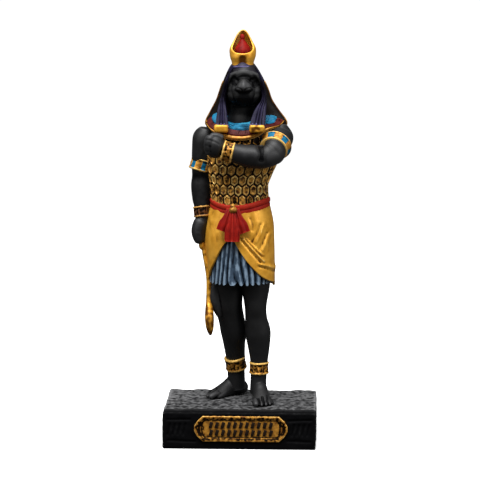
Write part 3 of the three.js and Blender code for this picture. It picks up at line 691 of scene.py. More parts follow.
# %% Legs
left_leg = [
    (3.1, 1.2, 32, 3.4, 3.4), (3.1, 0.9, 26, 3.2, 3.1), (3.12, 0.6, 21.4, 2.45, 2.5),
    (3.25, 0.9, 18.4, 2.45, 2.5), (3.6, 1.6, 15.3, 2.85, 2.95), (3.8, 1.9, 12, 2.45, 2.55),
    (3.85, 2.0, 8.5, 1.95, 2.05), (3.75, 2.0, 5, 1.8, 1.95), (3.65, 2.0, 1.4, 1.85, 2.2),
]
right_leg = [
    (-3.3, 1.6, 32, 3.6, 3.4), (-3.4, 1.8, 26, 3.85, 3.15), (-3.05, 2.1, 21.4, 3.25, 2.8),
    (-2.4, 2.8, 18.4, 2.9, 2.7), (-1.85, 3.8, 15, 2.9, 2.85), (-1.75, 4.8, 12, 2.45, 2.5),
    (-1.5, 5.7, 8.3, 2.1, 2.05), (-1.4, 6.2, 5, 1.95, 2.0), (-1.3, 6.5, 1.4, 2.0, 2.1),
]
# A web of resin fills part of the gap between the right thigh and the sword.
web = [(-5.4, 0.5, 27.5, 1.1, 1.2), (-5.8, 0.1, 25.0, 1.3, 1.2), (-5.8, -0.2, 22.8, 1.25, 1.1),
       (-5.3, 0.0, 20.7, 0.95, 1.0), (-4.7, 0.6, 18.8, 0.6, 0.8)]


def leg(name, sections, a_foot, knee, more=()):
    """Melts a leg, its foot and what else belongs to it, and carves knee and toes."""
    forms, gaps = a_foot
    piece = cast(name, [limb(name, sections, 32, 60), *forms, *more], 0.165, 4)
    carve(piece, lambda at, out: 0.16 * near(at, knee, 1.8)
          - 0.1 * near(at, np.array(knee) + (0, -0.4, -2.3), 1.2)
          - 0.45 * sum(near(at, line, 0.2) for line in gaps))
    # Painted shade between the toes, along the lines of their gaps.
    dress(piece, black, reach=0.6, full=0.12,
          bias=lambda at, out: 2.2 * sum(near(at, line, 0.38) for line in gaps))


leg("left_leg", left_leg, foot((3.6, 4.0), 9, -1), (3.05, -1.2, 21.2))
leg("right_leg", right_leg, foot((0.4, 8.5), -52, 1), (-3.1, -0.1, 21.2),
    [limb("web", web, 20, 24, blunt=0.1)])

# %% [markdown]
# The arms: the right one hangs, the left one is bent across the chest, and both fists are
# closed. Fingers modelled one by one would be lost at this size, where the real ones are soft
# too. So each fist is a few round forms melted together, with shallow creases carved between
# the fingers.

# %% Right arm
right_arm = [
    limb("arm", [(-7.6, 1.5, 60.4, 1.5, 1.7), (-8.0, 1.6, 58.6, 2.6, 2.6),
                 (-8.5, 1.8, 55.4, 2.4, 2.5), (-8.9, 2.1, 52.2, 2.05, 2.15),
                 (-8.8, 2.1, 49.9, 2.1, 1.95), (-8.8, 1.8, 47.8, 2.3, 2.05),
                 (-8.7, 1.2, 45, 2.1, 1.8), (-8.55, 0.7, 42.2, 1.6, 1.45),
                 (-8.5, 0.4, 39.6, 1.45, 1.4)], 32, 60),
    limb("hand", [(-8.55, 0.2, 40.8, 1.35, 1.4), (-9.1, 0.0, 39.4, 1.55, 1.65),
                  (-9.35, -0.1, 37.9, 1.6, 1.75), (-9.15, -0.2, 36.4, 1.4, 1.55),
                  (-8.75, -0.3, 35.2, 1.0, 1.1)], 32, 30, blunt=0.18),
]
right_arm = cast("right_arm", right_arm, 0.17, 6)
# Height, width and line of each swell of muscle, above zero, and each crease, below it.
RIGHT_ARM_LINES = [
    (0.12, 1.2, [(-9.4, -0.6, 57.5), (-9.6, -0.4, 54.5)]),
    (-0.12, 0.5, [(-7.6, -0.6, 55.6), (-8.6, -0.9, 53.4)]),
    (-0.1, 0.5, [(-8.7, -1, 50.4), (-9.6, -0.6, 49.0)]),
    (-0.2, 0.3, [(-7.9, -1.9, 39.6), (-8.1, -2.0, 37.6), (-8.0, -1.7, 36.0)]),
]
RIGHT_ARM_LINES += [(-0.12, 0.2, [(-9.4, -2.0, z), (-8.3, -2.2, z - 0.2)])
                    for z in (38.3, 37.3, 36.3)]
carve(right_arm, lambda at, out: sum(
    height * near(at, line, width) for height, width, line in RIGHT_ARM_LINES))
# The forearm is painted darker than the upper arm and the fist: painted shade.
dress(right_arm, black, reach=0.6, full=0.12, bias=lambda at, out:
      0.8 * np.clip((52 - at[:, 2]) / 2, 0, 1) * np.clip(at[:, 2] - 41, 0, 1))

# %% Left arm
left_arm = [
    limb("upper", [(8.3, 0.9, 61.2, 1.5, 1.6), (8.5, 0.4, 59.0, 2.8, 2.7),
                   (8.1, -1.6, 57.9, 2.95, 2.9), (7.5, -3.4, 56.9, 3.0, 3.0),
                   (7.2, -4.9, 56.0, 2.5, 2.6)], 40, 30),
    ball("elbow", (7.2, -4.8, 56.0), (2.6, 2.6, 2.9)),
    limb("fore", [(8.5, -4.5, 56.0, 1.5, 1.6), (7.1, -5.3, 55.5, 2.4, 2.3),
                  (4.6, -6.2, 55.0, 2.55, 2.4), (1.8, -6.6, 55.15, 2.45, 2.2),
                  (-1.0, -6.8, 55.8, 2.05, 1.9), (-3.6, -6.7, 56.6, 1.8, 1.7)], 40, 50,
         side=(0, 0, 1)),
    ball("palm", (-5.3, -6.7, 57.3), (2.2, 2.1, 2.6)),
    limb("knuckles", [(-6.1, -7.0, 59.7, 1.0, 1.1), (-6.4, -7.2, 58.4, 1.3, 1.3),
                      (-6.4, -7.2, 56.8, 1.3, 1.3), (-6.0, -7.0, 55.4, 1.0, 1.1)], 30, 30,
         blunt=0.2),
    limb("thumb", [(-3.6, -6.9, 58.9, 0.8, 0.9), (-5.0, -7.1, 59.5, 0.75, 0.8),
                   (-6.4, -7.2, 59.6, 0.6, 0.7)], 20, 20, side=(0, 0, 1), blunt=0.15),
]
left_arm = cast("left_arm", left_arm, 0.17, 6)
INNER_ELBOW = [(4.5, 57.3), (4.75, 56.2), (4.7, 54.6)]
LEFT_ARM_LINES = [
    (-0.5, 0.8, INNER_ELBOW), (0.22, 1.2, [(1.2, 56.0), (3.6, 56.0)]),
    (-0.08, 0.22, [(-7.2, 58.9), (-5.8, 58.6), (-4.4, 57.9)]),
    (-0.05, 0.2, [(-7.3, 57.6), (-6.2, 57.4)]), (-0.05, 0.2, [(-7.3, 56.4), (-6.2, 56.2)]),
]
carve(left_arm, lambda at, out: (out[:, 1] < 0.2) * sum(
    height * seen(at, line, width) for height, width, line in LEFT_ARM_LINES))
# Painted shade in the elbow's crease and under the fingers, and a painted highlight on the
# point of the elbow.
dress(left_arm, black, reach=0.6, full=0.12, bias=lambda at, out: (
    0.75 * seen(at, INNER_ELBOW, 1.1) + 0.8 * seen(at, [(-5.8, 57.4), (-5.2, 56.2)], 1.3)
    - 0.8 * seen(at, [(7.6, 54.8)], 1.8)))

# %% [markdown]
# The falcon's head, lifted a little: skull, hooked beak, puffed cheeks, heavy brows and sunken
# eyes on a thick neck. It could be subdivided from a cube and sculpted. Round forms melted
# together come close to it sooner, and then a few lines are carved as seen from the front. It
# is the finest skin of the figure, because the eye goes there first.

# %% Head
FACE = 0.7
brow_side = [(3.6, -1.5, 69.7, 0.4, 0.5), (3.4, -2.3, 71.0, 0.5, 0.55),
             (2.5, -3.05, 72.2, 0.6, 0.6)]
brow = [(FACE - x, *rest) for x, *rest in brow_side] + [(FACE, -3.5, 72.9, 0.65, 0.6)]
brow += [(FACE + x, *rest) for x, *rest in brow_side[::-1]]
head = [
    ball("skull", (FACE, -0.3, 69.3), (3.9, 4.1, 3.9), 5),
    ball("crown_of_head", (FACE, -0.9, 71.6), (3.35, 3.7, 3.6)),
    ball("jaw", (0.6, -1.2, 68.0), (3.65, 2.9, 2.5)),
    ball("chin", (0.6, -2.9, 69.6), (2.6, 2.3, 4.0)),
    limb("neck", [(0.2, 1.2, 58.5, 4.0, 3.6), (0.15, 1.0, 61.8, 3.5, 3.4),
                  (0.25, 1.0, 64.3, 2.9, 3.0), (0.5, 0.6, 68, 2.6, 2.8)], 40, 30),
    limb("beak", [(0.6, -3.4, 71.2, 0.35, 0.5), (0.62, -4.3, 70.8, 0.8, 0.8),
                  (0.65, -4.9, 70.3, 1.3, 0.95), (0.68, -5.15, 69.8, 1.75, 1.0),
                  (0.7, -4.4, 69.1, 1.5, 0.9), (0.7, -3.6, 68.4, 1.1, 0.8)], 32, 40, blunt=0.08),
    limb("hook", [(0.66, -5.3, 70.3, 0.6, 0.5), (0.67, -5.75, 69.8, 0.5, 0.42),
                  (0.67, -5.75, 69.4, 0.32, 0.32), (0.66, -5.4, 69.1, 0.2, 0.2)], 20, 20,
         blunt=0.1),
    limb("brow", brow, 20, 50, side=(0, 0, 1), blunt=0.08),
]
head = cast("falcon_head", head, 0.12, 12)
# The face leans back from the chin up, because the falcon looks a little upwards.
lifted = points(head)
lifted[:, 1] += 0.3 * np.clip(lifted[:, 2] - 67.5, 0, 4.5)
place_points(head, lifted)

# %% Face
UNDER_BROW = [(-1.6, 71.3), (-0.9, 71.8), (0, 72.0), (0.9, 71.8), (1.6, 71.3)]
BEAK_RIDGE = [(0, 71.0), (0, 69.9)]
GAPE = [(2.0, 69.3), (1.4, 69.7), (0.7, 69.5), (0.25, 69.2)]
RIGHT_EYE, LEFT_EYE = [(-2.0, 71.3), (-2.0, 70.4)], [(2.05, 71.2), (2.45, 70.0)]
# Height, width and line of each ridge, above zero, and groove, below it. Lines are x from the
# middle of the face, and z.
FACE_LINES = [
    (-0.4, 0.5, UNDER_BROW), (-0.1, 0.14, [(-x, z) for x, z in GAPE]), (-0.1, 0.14, GAPE),
    (0.18, 0.45, BEAK_RIDGE), (-0.5, 0.6, RIGHT_EYE), (0.1, 0.22, [(-1.9, 70.75)]),
    (-0.5, 0.6, LEFT_EYE), (0.1, 0.22, [(1.9, 70.75)]),
]


def on_face(at, line, width):
    return seen(at, [(FACE + x, z) for x, z in line], width)


carve(head, lambda at, out: np.clip(-out[:, 1] * 3, 0, 1) * sum(
    height * on_face(at, line, width) for height, width, line in FACE_LINES))

# %% Paint on the head
# How strong, how wide and where the painted shade lies: under the brow, in the eyes, under
# the beak, below.
PAINTED_SHADE_LINES = [
    (1, 0.6, [(-1.7, 71.2), (0, 72.0), (1.7, 71.2)]), (1, 0.75, RIGHT_EYE), (1, 0.75, LEFT_EYE),
    (1, 0.38, [(-1.9, 69.1), (0, 68.9), (1.9, 69.1)]), (0.75, 1.7, [(0, 68.6), (0, 66.5)]),
]


def on_cap(at):
    """The wig comes down over the head as far as the brow."""
    return (at[:, 2] > 73.4 - 0.1 * (at[:, 0] - FACE) ** 2) & (at[:, 1] < 1)


def head_shade_and_light(at, out):
    """Lighter on the face, as dry brush and painted light, with a painted highlight where it looks
    up; painted shade in its hollows, below the beak and on the neck.
    """
    painted_shade = np.max([share * on_face(at, line, width) for share, width, line in PAINTED_SHADE_LINES], axis=0)
    face = (1.9 * painted_shade - 0.45 - 0.3 * np.clip(out[:, 2], 0, 1)
            + 0.9 * np.clip(68.6 - at[:, 2], 0, 1))
    return np.where(on_cap(at), 0.25, face) * (at[:, 2] > 65.8) + 0.6 * (at[:, 2] < 65.5)


paint_places(head, on_cap)
dress(head, black, thin_violet, reach=0.5, full=0.1, bias=head_shade_and_light)

# %% [markdown]
# The corselet: a dark ground under rows of long six-sided scales, each row half a scale off
# the next. An array along a curve would give scales that are all alike. Here one scale is
# modelled, a plate with a raised rim round a sunk middle, and copied round the body. Each copy
# is bent onto the torso, and is a little larger, thicker or more worn than the next.

# %% Torso
# From the shoulders down: height, middle x and y, half width, half depth.
torso_rings = [
    (61.5, 0.5, 1.3, 5.2, 3.0), (60.0, 0.4, 1.2, 7.3, 4.1), (57.4, 0.3, 1.0, 7.8, 4.8),
    (54.2, 0.35, 0.95, 7.75, 4.85), (51.2, -0.15, 0.9, 6.95, 4.6), (48.2, -0.5, 0.9, 6.1, 4.35),
    (45.4, -0.45, 0.9, 6.15, 4.4), (42.6, -0.35, 0.9, 6.2, 4.5),
]
ground = wrap("corselet_ground", lambda angle, t: ring_point(torso_rings, angle, t), 84, 48)
dress(ground, ink, reach=0.3)

# %% One scale
# Drawn flat: 1 is half its width across and half its length along, and its thickness is in mm.
hexagon = [(0, 1), (1, 0.55), (1, -0.55), (0, -1), (-1, -0.55), (-1, 0.55)]
pattern = polygon("pattern", [(x, y, 0) for x, y in hexagon[::-1]])
edit(pattern, extrude((0, 0, 0.28)), inset(0.1, 0.08), inset(0.17), inset(0.1, -0.16),
     inset(0.12, -0.02))
flat = points(pattern)
print("one scale:", len(pattern.data.polygons), "faces")

# %% Scales round the torso
SCALES, ROWS, ROW_HEIGHT, FIRST_ROW = 21, 7, 2.2, 45.1
SHARES = np.linspace(0, 1, 400)
heights = glide([ring[:1] for ring in torso_rings], SHARES)[:, 0]


def on_torso(u, height, out):
    """u counts scales round from the front, height and out from the skin are in mm."""
    whole = np.round(u / SCALES)
    rest = (u / SCALES - whole) * TAU
    # The scales crowd a little towards the front and the back.
    angle = whole * TAU + rest - 0.06 * np.sin(2 * rest)
    t = np.interp(-height, -heights, SHARES)
    return ring_point(torso_rings, angle, t, out)


# noise_vector takes its seed from the clock unless one is set, and the scales would then lie a
# little differently in every run.
noise.seed_set(7)
scales = []
for row in range(ROWS):
    for n in range(SCALES):
        alone(pattern)
        bpy.ops.object.duplicate()
        one = bpy.context.object
        u = n + (row + 1) % 2 / 2 + 1
        uneven = noise.noise_vector(Vector((u * 1.7, row * 2.3, 0.5)))
        place_points(one, on_torso(
            u + flat[:, 0] * (0.405 + 0.03 * uneven.z) + 0.07 * uneven.x,
            FIRST_ROW + (row + flat[:, 1] * 0.555 + 0.07 * uneven.y) * ROW_HEIGHT,
            flat[:, 2] - 0.05 + 0.05 * uneven.z))
        worn = noise.noise(Vector((u * 3.1, row * 5.7, 4.2)))
        # Gold on the rim, umber in the middle, dark at the foot, and painted shade on the row
        # under the collar.
        sunk_and_shade = np.clip((0.3 - flat[:, 2]) / 0.1 + 0.5 * worn, -1, 0.15 + 0.9 * worn)
        sunk_and_shade = sunk_and_shade + 0.9 * (flat[:, 2] < 0.1) + 0.9 * (row == ROWS - 1)
        layer = one.data.attributes.new("hollow", "FLOAT", "POINT")
        layer.data.foreach_set("value", sunk_and_shade)
        scales.append(one)
bpy.data.objects.remove(pattern)
scales = join("corselet_scales", scales)
close(scales)
dress(scales, flecked_gold, reach=0, crisp=45)

# %% [markdown]
# The kilt is gold cloth, parted in front over a pleated blue-grey underskirt. It is carved in
# the same resin, so it isn't simulated as cloth would be: its folds have to lie where the
# sculptor put them. It is a skin of level rings. Its hem is a curve and is turned in to show
# its thickness, and folds are ridges and grooves carved along lines.

# %% Kilt
kilt_rings = [(44.2, -0.25, 0.9, 6.4, 4.6), (40, -0.3, 0.9, 7.35, 5.4), (36, -0.45, 0.9, 7.7, 6.0),
              (31, -0.2, 0.9, 7.55, 6.25), (25.9, 0.05, 0.9, 7.25, 6.3)]
KILT_TOP, KILT_FOOT = 44.2, 25.9
PART_X, PART_Z = -1.3, 36.6


def kilt_hem(angle):
    """Height of the hem: parted in front, level at the left, a little higher at the right."""
    turn = wrapped(angle)
    behind = KILT_FOOT + np.where(turn > 0, 0, 1.4 * (1 + turn / math.pi))
    off = kilt_rings[-1][1] + kilt_rings[-1][3] * np.sin(turn) - PART_X
    left = np.maximum(KILT_FOOT, PART_Z - 11.6 * (1 - np.exp(-off / 5)))
    right = np.maximum(KILT_FOOT + 0.7, PART_Z + off - 0.098 * off * off)
    return np.where(abs(turn) > math.pi / 2, behind, np.where(off > 0, left, right))


# Broad folds: the angle at the top, the lean for each mm down, the width and the height.
FOLDS = [(0.05, 0.055, 0.14, 0.2), (0.35, 0.05, 0.16, 0.2), (-0.75, -0.02, 0.14, 0.2),
         (2.2, -0.02, 0.16, 0.25), (-2.4, 0.02, 0.16, 0.25)]


def kilt_skin(angle, t):
    """Down the outside to the hem, round it, and a little way up the inside."""
    outer = np.clip(t / 0.88, 0, 1)
    inner = np.clip((t - 0.88) / 0.12, 0, 1)
    z = KILT_TOP + (kilt_hem(angle) - KILT_TOP) * outer
    down = KILT_TOP - z
    swell = np.minimum(down / 4, 1)
    out = swell * sum(height * np.exp(-(wrapped(angle - where - lean * down) / width) ** 2)
                      for where, lean, width, height in FOLDS)
    out = out - 0.5 * np.minimum(inner * 3, 1)
    at = ring_point(kilt_rings, angle, down / (KILT_TOP - KILT_FOOT), out)
    at[:, 2] += np.maximum(inner - 0.33, 0) * 1.5
    return at


kilt = wrap("kilt", kilt_skin, 260, 130)
# Height, width and line of each fold that shows in front: drawn together towards the parting.
CREASES = [
    (0.3, 0.28, [(0.6, 37.0), (2.7, 34.6), (5.0, 31.9)]),
    (-0.175, 0.26, [(0.2, 36.6), (2.2, 34.2), (4.4, 31.6)]),
    (0.2, 0.22, [(1.3, 36.9), (3.2, 34.9), (4.9, 33.3)]),
    (-0.125, 0.18, [(1.0, 36.8), (2.9, 34.7), (4.6, 33.0)]),
    (-0.1625, 0.3, [(4.4, 39.9), (3.6, 38.0), (2.6, 36.4)]),
    (0.125, 0.4, [(5.0, 39.8), (4.3, 38.0), (3.4, 36.3)]),
    (-0.15, 0.3, [(5.7, 37.9), (5.0, 36.2), (4.1, 34.6)]),
    (0.125, 0.4, [(6.3, 37.7), (5.6, 36.0), (4.8, 34.4)]),
    (0.2, 0.35, [(4.1, 31.4), (5.8, 30.8), (7.4, 29.9)]),
    (-0.125, 0.3, [(4.1, 30.8), (5.8, 30.2), (7.4, 29.2)]),
    (-0.175, 0.35, [(2.2, 41.3), (2.7, 40.0), (2.6, 38.8)]),
    (-0.075, 0.22, [(-4.6, 38.6), (-3.8, 36.6), (-3.4, 35.4)]),
    (-0.075, 0.25, [(-6.2, 39.6), (-5.1, 36.0), (-4.6, 32.0)]),
    (0.125, 0.5, [(-7.0, 42.0), (-5.9, 38.0), (-5.6, 33.0)]),
]
carve(kilt, lambda at, out: (out[:, 1] < 0.1) * sum(
    height * seen(at, line, width) for height, width, line in CREASES))
dress(kilt, gold, reach=0.5, full=0.2,
      bias=lambda at, out: 0.05 + 0.5 * rough(at * [1, 1, 0.12], 0.5, 2))

# %% [markdown]
# The underskirt's pleats are narrow and uneven, with sharp valleys between round ridges. A wave
# round the skirt gives them all at once: its power sharpens the valleys, and slower waves make
# the pleats wander and differ.

# %% Underskirt
skirt_rings = [(38, -0.4, 0.8, 5.9, 4.9), (33, -0.4, 0.8, 6.35, 5.5), (29, -0.3, 0.8, 6.5, 5.75),
               (27.0, -0.25, 0.8, 6.5, 5.8)]
PLEATS = 29


def skirt_skin(angle, t):
    outer, inner = np.clip(t / 0.9, 0, 1), np.clip((t - 0.9) / 0.1, 0, 1)
    wander = angle + 0.06 * np.sin(3 * angle + 4 * t) + 0.035 * np.sin(7 * angle + 2 + 3 * t)
    valley = (0.5 - 0.5 * np.cos(PLEATS * wander)) ** 1.8
    uneven = 0.75 + 0.35 * np.sin(11 * angle + 1) * np.cos(4 * angle)
    pleat = (0.25 + 0.75 * outer) * (0.34 - 0.85 * valley * uneven)
    at = ring_point(skirt_rings, angle, outer, pleat - 0.45 * np.minimum(inner * 2, 1))
    at[:, 2] += 0.35 * outer ** 8 * (valley * 2 - 1) + inner * 1.0
    return at


skirt = wrap("underskirt", skirt_skin, 360, 70)
dress(skirt, slate_blue, reach=0.6, full=0.16,
      bias=lambda at, out: 0.7 * rough(at * [1, 1, 0.2], 0.45, 5) - 0.12)

# %% [markdown]
# The sash is red cloth: a folded belt that dips at the front, and three ends that hang from a
# gold brooch. A curve with a profile would do for the belt, but it would twist where the belt
# dips. So its cross section, with the crease of the fold, is drawn round the waist level by
# level. The ends are flat limbs with folds along them.

# %% Sash
# Down across the belt and out from the waist.
belt_profile = [(-1.15, -0.3), (-0.95, 0.3), (-0.5, 0.42), (-0.1, 0.36), (0.1, 0.28), (0.3, 0.36),
                (0.8, 0.4), (1.05, 0.24), (1.15, -0.2)]


def belt_skin(angle, t):
    high, out = glide(belt_profile, t).T
    dip = -1.35 * np.maximum(0, np.cos(angle + 0.2)) ** 2
    at = ring_point([(0, -0.3, 0.9, 6.2, 4.65)] * 2, angle, t, out)
    at[:, 2] = 44.4 - high + dip
    return at


def hanging(top, low, top_half, low_half, thick, folds):
    """An end of the sash, from its knot down, bowed a little forwards."""
    top, low = np.array(top), np.array(low)
    between = [(top * 2 + low) / 3 - (0, 0.25, 0), (top + low * 2) / 3 - (0, 0.3, 0)]
    rows = [(*top, top_half, thick * 0.7), (*between[0], top_half, thick),
            (*between[1], low_half, thick), (*low, low_half, thick)]
    return limb("end", rows, 96, 40, out=lambda angle, t: 0.12 * np.cos(folds * 2 * angle)
                * np.clip(t * 3, 0, 1))


sash = [
    wrap("belt", belt_skin, 160, 24),
    hanging((-2.3, -4.4, 43.4), (-4.0, -5.5, 38.8), 0.75, 1.25, 0.5, 3),
    hanging((-0.9, -4.4, 43.4), (0.9, -5.6, 38.4), 0.75, 1.3, 0.5, 3),
    hanging((-1.6, -4.7, 43.6), (-1.75, -6.1, 36.5), 0.9, 1.5, 0.6, 4),
]
sash = join("sash", sash)
dress(sash, red, reach=0.35, full=0.09, bias=lambda at, out: -0.4 * np.clip(at[:, 2] - 42, 0, 1))
brooch = cast("sash_brooch", [ball("boss", (-1.55, -5.25, 43.3), (0.85, 0.7, 0.72)),
                              ball("loop", (-1.65, -5.15, 44.2), (0.5, 0.55, 0.5))], 0.09, 2)
carve(brooch, lambda at, out: rough(at, 0.5, 4) * 0.08)
dress(brooch, old_gold, reach=0.2, full=0.1)

# %% [markdown]
# Cuffs: two armlets, two bracelets and two anklets. Each is a band round a limb with raised
# edges and a sunk field. A torus pressed flat would give the band but not its edges, so one
# function draws the whole cross section round a tilted oval. What lies in the field is a small
# relief of its own: panels on the armlets, and bars, framed panels and worn waves on the rest.

# %% Cuff maker
def cuff(name, centre, ahead, radii, height, relief, side=(1, 0, 0), around=240, flare=0.0):
    """A band round a limb: its edges stand proud of a field that has relief(angle, t) on it."""
    ahead = unit(np.array(ahead, float))
    side = np.array(side, float)
    towards = unit(side - ahead * (ahead @ side))
    across = np.cross(ahead, towards)

    def place(angle, t):
        from_edge = np.minimum(t, 1 - t)
        edge = np.exp(-((from_edge - 0.1) / 0.07) ** 2)
        roll = np.sqrt(np.clip(1 - (1 - from_edge / 0.06) ** 2, 0.02, 1))
        roll = np.where(from_edge > 0.06, 1, roll)
        field = np.clip((from_edge - 0.16) / 0.05, 0, 1)
        out = -0.25 + 0.25 * roll + 0.1 * edge - 0.06 * field + relief(angle, t) * field
        out = out + flare * (0.5 - t)
        return (np.array(centre) + towards * ((radii[0] + out) * np.sin(angle))[:, None]
                + across * ((radii[1] + out) * np.cos(angle))[:, None]
                + ahead * ((t - 0.5) * height)[:, None])

    return wrap(name, place, around, 36)


# %% Armlets
def panels(count, first):
    """Relief of sunk panels between raised motifs, and the rule that paints them."""
    def relief(angle, t):
        between = -np.cos(count * (angle - first * TAU))
        return 0.1 * np.clip(between * 2 - 0.2, -0.6, 1) * (0.7 + 0.3 * np.cos(17 * t + 5 * angle))

    def which(u, v):
        wave = np.cos(count * (u - first) * TAU)
        return np.select([abs(v - 0.5) > 0.36, wave > 0.2, wave < -0.3], [0, 1, 2], 0)

    return relief, which


for name, edge_paint, (relief, which), around, flare, place in (
    ("right_armlet", gold, panels(5, 0.617), 200, 0.0,
     ((-9.1, 1.95, 52.35), (0.3, 0.1, 1), (2.15, 2.4), 2.7)),
    ("left_armlet", old_gold, panels(6, 0.13), 240, 0.6,
     ((7.3, -3.65, 56.8), (-0.25, -1, -0.45), (3.25, 3.15), 2.1)),
):
    armlet = cuff(name, *place, relief, around=around, flare=flare)
    paint_cells(armlet, which)
    dress(armlet, edge_paint, turquoise, old_gold, reach=0.2, full=0.06,
          bias=lambda at, out: 0.1 + 0.7 * rough(at, 0.6, 3))


# %% Bracelets and anklets
def worn(angle, t):
    """Engraving worn down to waves that all lean the same way."""
    return 0.05 * np.cos(13 * angle + 3 * t) * np.cos(4 * angle - 8 * t)


def bars(angle, t):
    """Upright bars, some deeper than others."""
    return (0.09 * np.tanh(3 * np.cos(20 * angle + np.sin(3 * angle)))
            * (0.7 + 0.3 * np.cos(5 * angle)))


def frames(angle, t):
    """Framed panels, each with a slanting bar across it."""
    cell = (angle / TAU * 6 + 0.42) % 1
    bar = np.exp(-((cell - 0.25 - 0.5 * t) / 0.1) ** 2)
    post = np.exp(-((np.minimum(cell, 1 - cell)) / 0.08) ** 2)
    return 0.22 * np.maximum(bar, post) - 0.18


# Each with its paint, middle, direction of the limb, two radii, height, relief and side.
for name, paint, *place in (
    ("right_bracelet", umber_gold, (-8.6, 0.75, 42.2), (-0.12, 0.15, 1), (1.85, 1.75), 2.4, bars),
    ("left_bracelet", old_gold, (-2.6, -6.75, 56.1), (-1, 0.02, 0.25), (2.15, 2.05), 2.4, worn,
     (0, 0, 1)),
    ("left_anklet", old_gold, (3.85, 1.95, 7.2), (0, 0, 1), (2.1, 2.2), 2.7, frames),
    ("right_anklet", old_gold, (-1.52, 5.75, 7.5), (-0.15, -0.25, 1), (2.3, 2.25), 3.0, worn),
):
    band = cuff(name, *place)
    carve(band, lambda at, out: rough(at, 0.6, 3) * 0.1)
    dress(band, paint, reach=0.3, full=0.16,
          bias=lambda at, out: 0.45 + 1.1 * rough(at, 0.55, 9))

# %% [markdown]
# The broad collar lies on the shoulders and dips in front: a turquoise band of threads, a
# brick-red one of beads and a gold edge. Three rings could be made, but they would have to meet
# without a gap on a form that rises and falls. So it is one skin from the neck out, with steps
# between the bands, and each face takes its paint from how far out it lies.

# %% Collar
# Share of the way out, and how proud of the shoulder the collar is there in mm.
collar_bands = [(0, 0), (0.1, 0.3), (0.25, 0.34), (0.4, 0.34), (0.45, 0.14), (0.52, 0.28),
                (0.74, 0.28), (0.8, 0.1), (0.86, 0.34), (0.95, 0.38), (1.0, 0.22), (1.0, -0.3)]


def collar_skin(angle, t):
    """From the neck out. It is higher on the left shoulder, where that arm is raised."""
    share, proud = glide(collar_bands, t).T
    # The bands crowd towards the edge at the sides, and swell over the shoulders.
    crowd = np.clip(2.5 * abs(np.sin(angle)) - 1.5, 0, 1) * (1.25 - 0.25 * np.sign(np.sin(angle)))
    share = 1 - (1 - np.clip(share, 0, 1)) ** (1 + crowd)
    threads = 0.05 * np.cos(share * 60) * (share < 0.42)
    beads = 0.025 * np.cos(84 * angle) * (share > 0.47) * (share < 0.72)
    proud = proud + threads + beads
    ahead, behind = np.maximum(0, np.cos(angle)), np.maximum(0, -np.cos(angle))
    wide = 3.3 + 5.0 * share
    deep = (3.9 + 2.0 * share + proud * 0.6) * ahead - (3.2 + 1.8 * share + proud * 0.6) * behind
    x = 0.85 - 0.8 * ahead * share + (wide + proud * 0.5) * np.sin(angle)
    shoulder = np.exp(-((wrapped(angle) - 0.75) / 0.35) ** 2)
    neck = 63.5 - 1.7 * np.clip(ahead * 3, 0, 1) + 0.55 * shoulder
    edge = 61.9 - 3.4 * ahead ** 1.3 - 1.6 * behind + 0.85 * shoulder
    swell = np.where(np.sin(angle) < 0, 0.9, 0.3) * np.clip(2 * abs(np.sin(angle)) - 1, 0, 1)
    z = neck + (edge - neck) * share + 4 * swell * share * (1 - share) + proud * 0.7
    return np.stack([x, 1.1 - deep, z], 1)


collar = wrap("broad_collar", collar_skin, 360, 84)
paint_cells(collar, lambda u, v: np.select([v < 0.365, v < 0.65], [0, 1], 2))
dress(collar, turquoise, brick_red, old_gold, reach=0.25, full=0.07,
      bias=lambda at, out: 0.2 + 0.8 * rough(at, 0.8, 12))

# %% [markdown]
# The wig: a long mantle down the back, edged in gold-brown at its fronts, and two locks that
# hang in front of the shoulders to gold clasps. Hair curves or particles would be far too fine
# for carved hair, and the export drops them. Each part is a closed skin with ripples round it
# for strands. The mantle's front, hidden behind the face, is dark and set back.

# %% Mantle
mantle_rings = [
    (75.3, 0.35, 0.9, 1.6, 2.2), (74.0, 0.35, 1.0, 2.8, 3.45), (71.8, 0.45, 1.6, 4.0, 4.1),
    (69.2, 0.55, 2.1, 5.1, 4.2), (66.6, 0.55, 2.5, 6.0, 4.1), (64.2, 0.7, 2.8, 7.4, 4.0),
    (61.9, 0.95, 2.9, 8.8, 4.0), (59.6, 0.9, 3.2, 8.4, 3.8), (57.6, 0.7, 3.4, 7.4, 3.6),
]


def mantle_skin(angle, t):
    """Fine strands behind, and the front set back from just below its top."""
    turned = angle + 0.3 * np.sin(angle)
    behind = np.clip(0.4 - np.cos(angle), 0, 1)
    strands = 0.16 * np.cos(44 * angle) * np.clip(t * 3, 0, 1) * behind
    at = ring_point(mantle_rings, turned, t, strands)
    at[:, 1] += 1.5 * np.clip(np.cos(turned), 0, 1) * np.clip(t * 8 - 1, 0, 1)
    return at


mantle = wrap("wig_mantle", mantle_skin, 440, 72)
paint_cells(mantle, lambda u, v: (np.cos(u * TAU) > 0.34) & (v > 0.2))
dress(mantle, hair_violet, ink, reach=0.3, bias=lambda at, out: 0.2 * (out[:, 1] < 0))


# %% Edging
def edging(way):
    """A thin raised edge down one front of the mantle: way is -1 for right, 1 for left."""
    t = np.array([0.3, 0.4, 0.5, 0.62, 0.74, 0.8])
    path = ring_point(mantle_rings, np.full(6, way * 1.5), t, 0.02)
    return limb("edging", np.hstack([path, np.full((6, 2), 0.16)]), 16, 40, blunt=0.06)


trim = join("wig_edging", [edging(-1), edging(1)])
dress(trim, umber_gold, reach=0.2, full=0.1)


# %% Locks and clasps
def lappet(path):
    """A lock of strands: x, y, z, half width, half depth from the temple to the clasp."""
    return limb("lappet", path, 220, 70, out=lambda a, t: 0.2 * np.cos(11 * a + 1.2 * t
                + 0.5 * np.sin(3 * a)) * (0.5 + 0.5 * t))


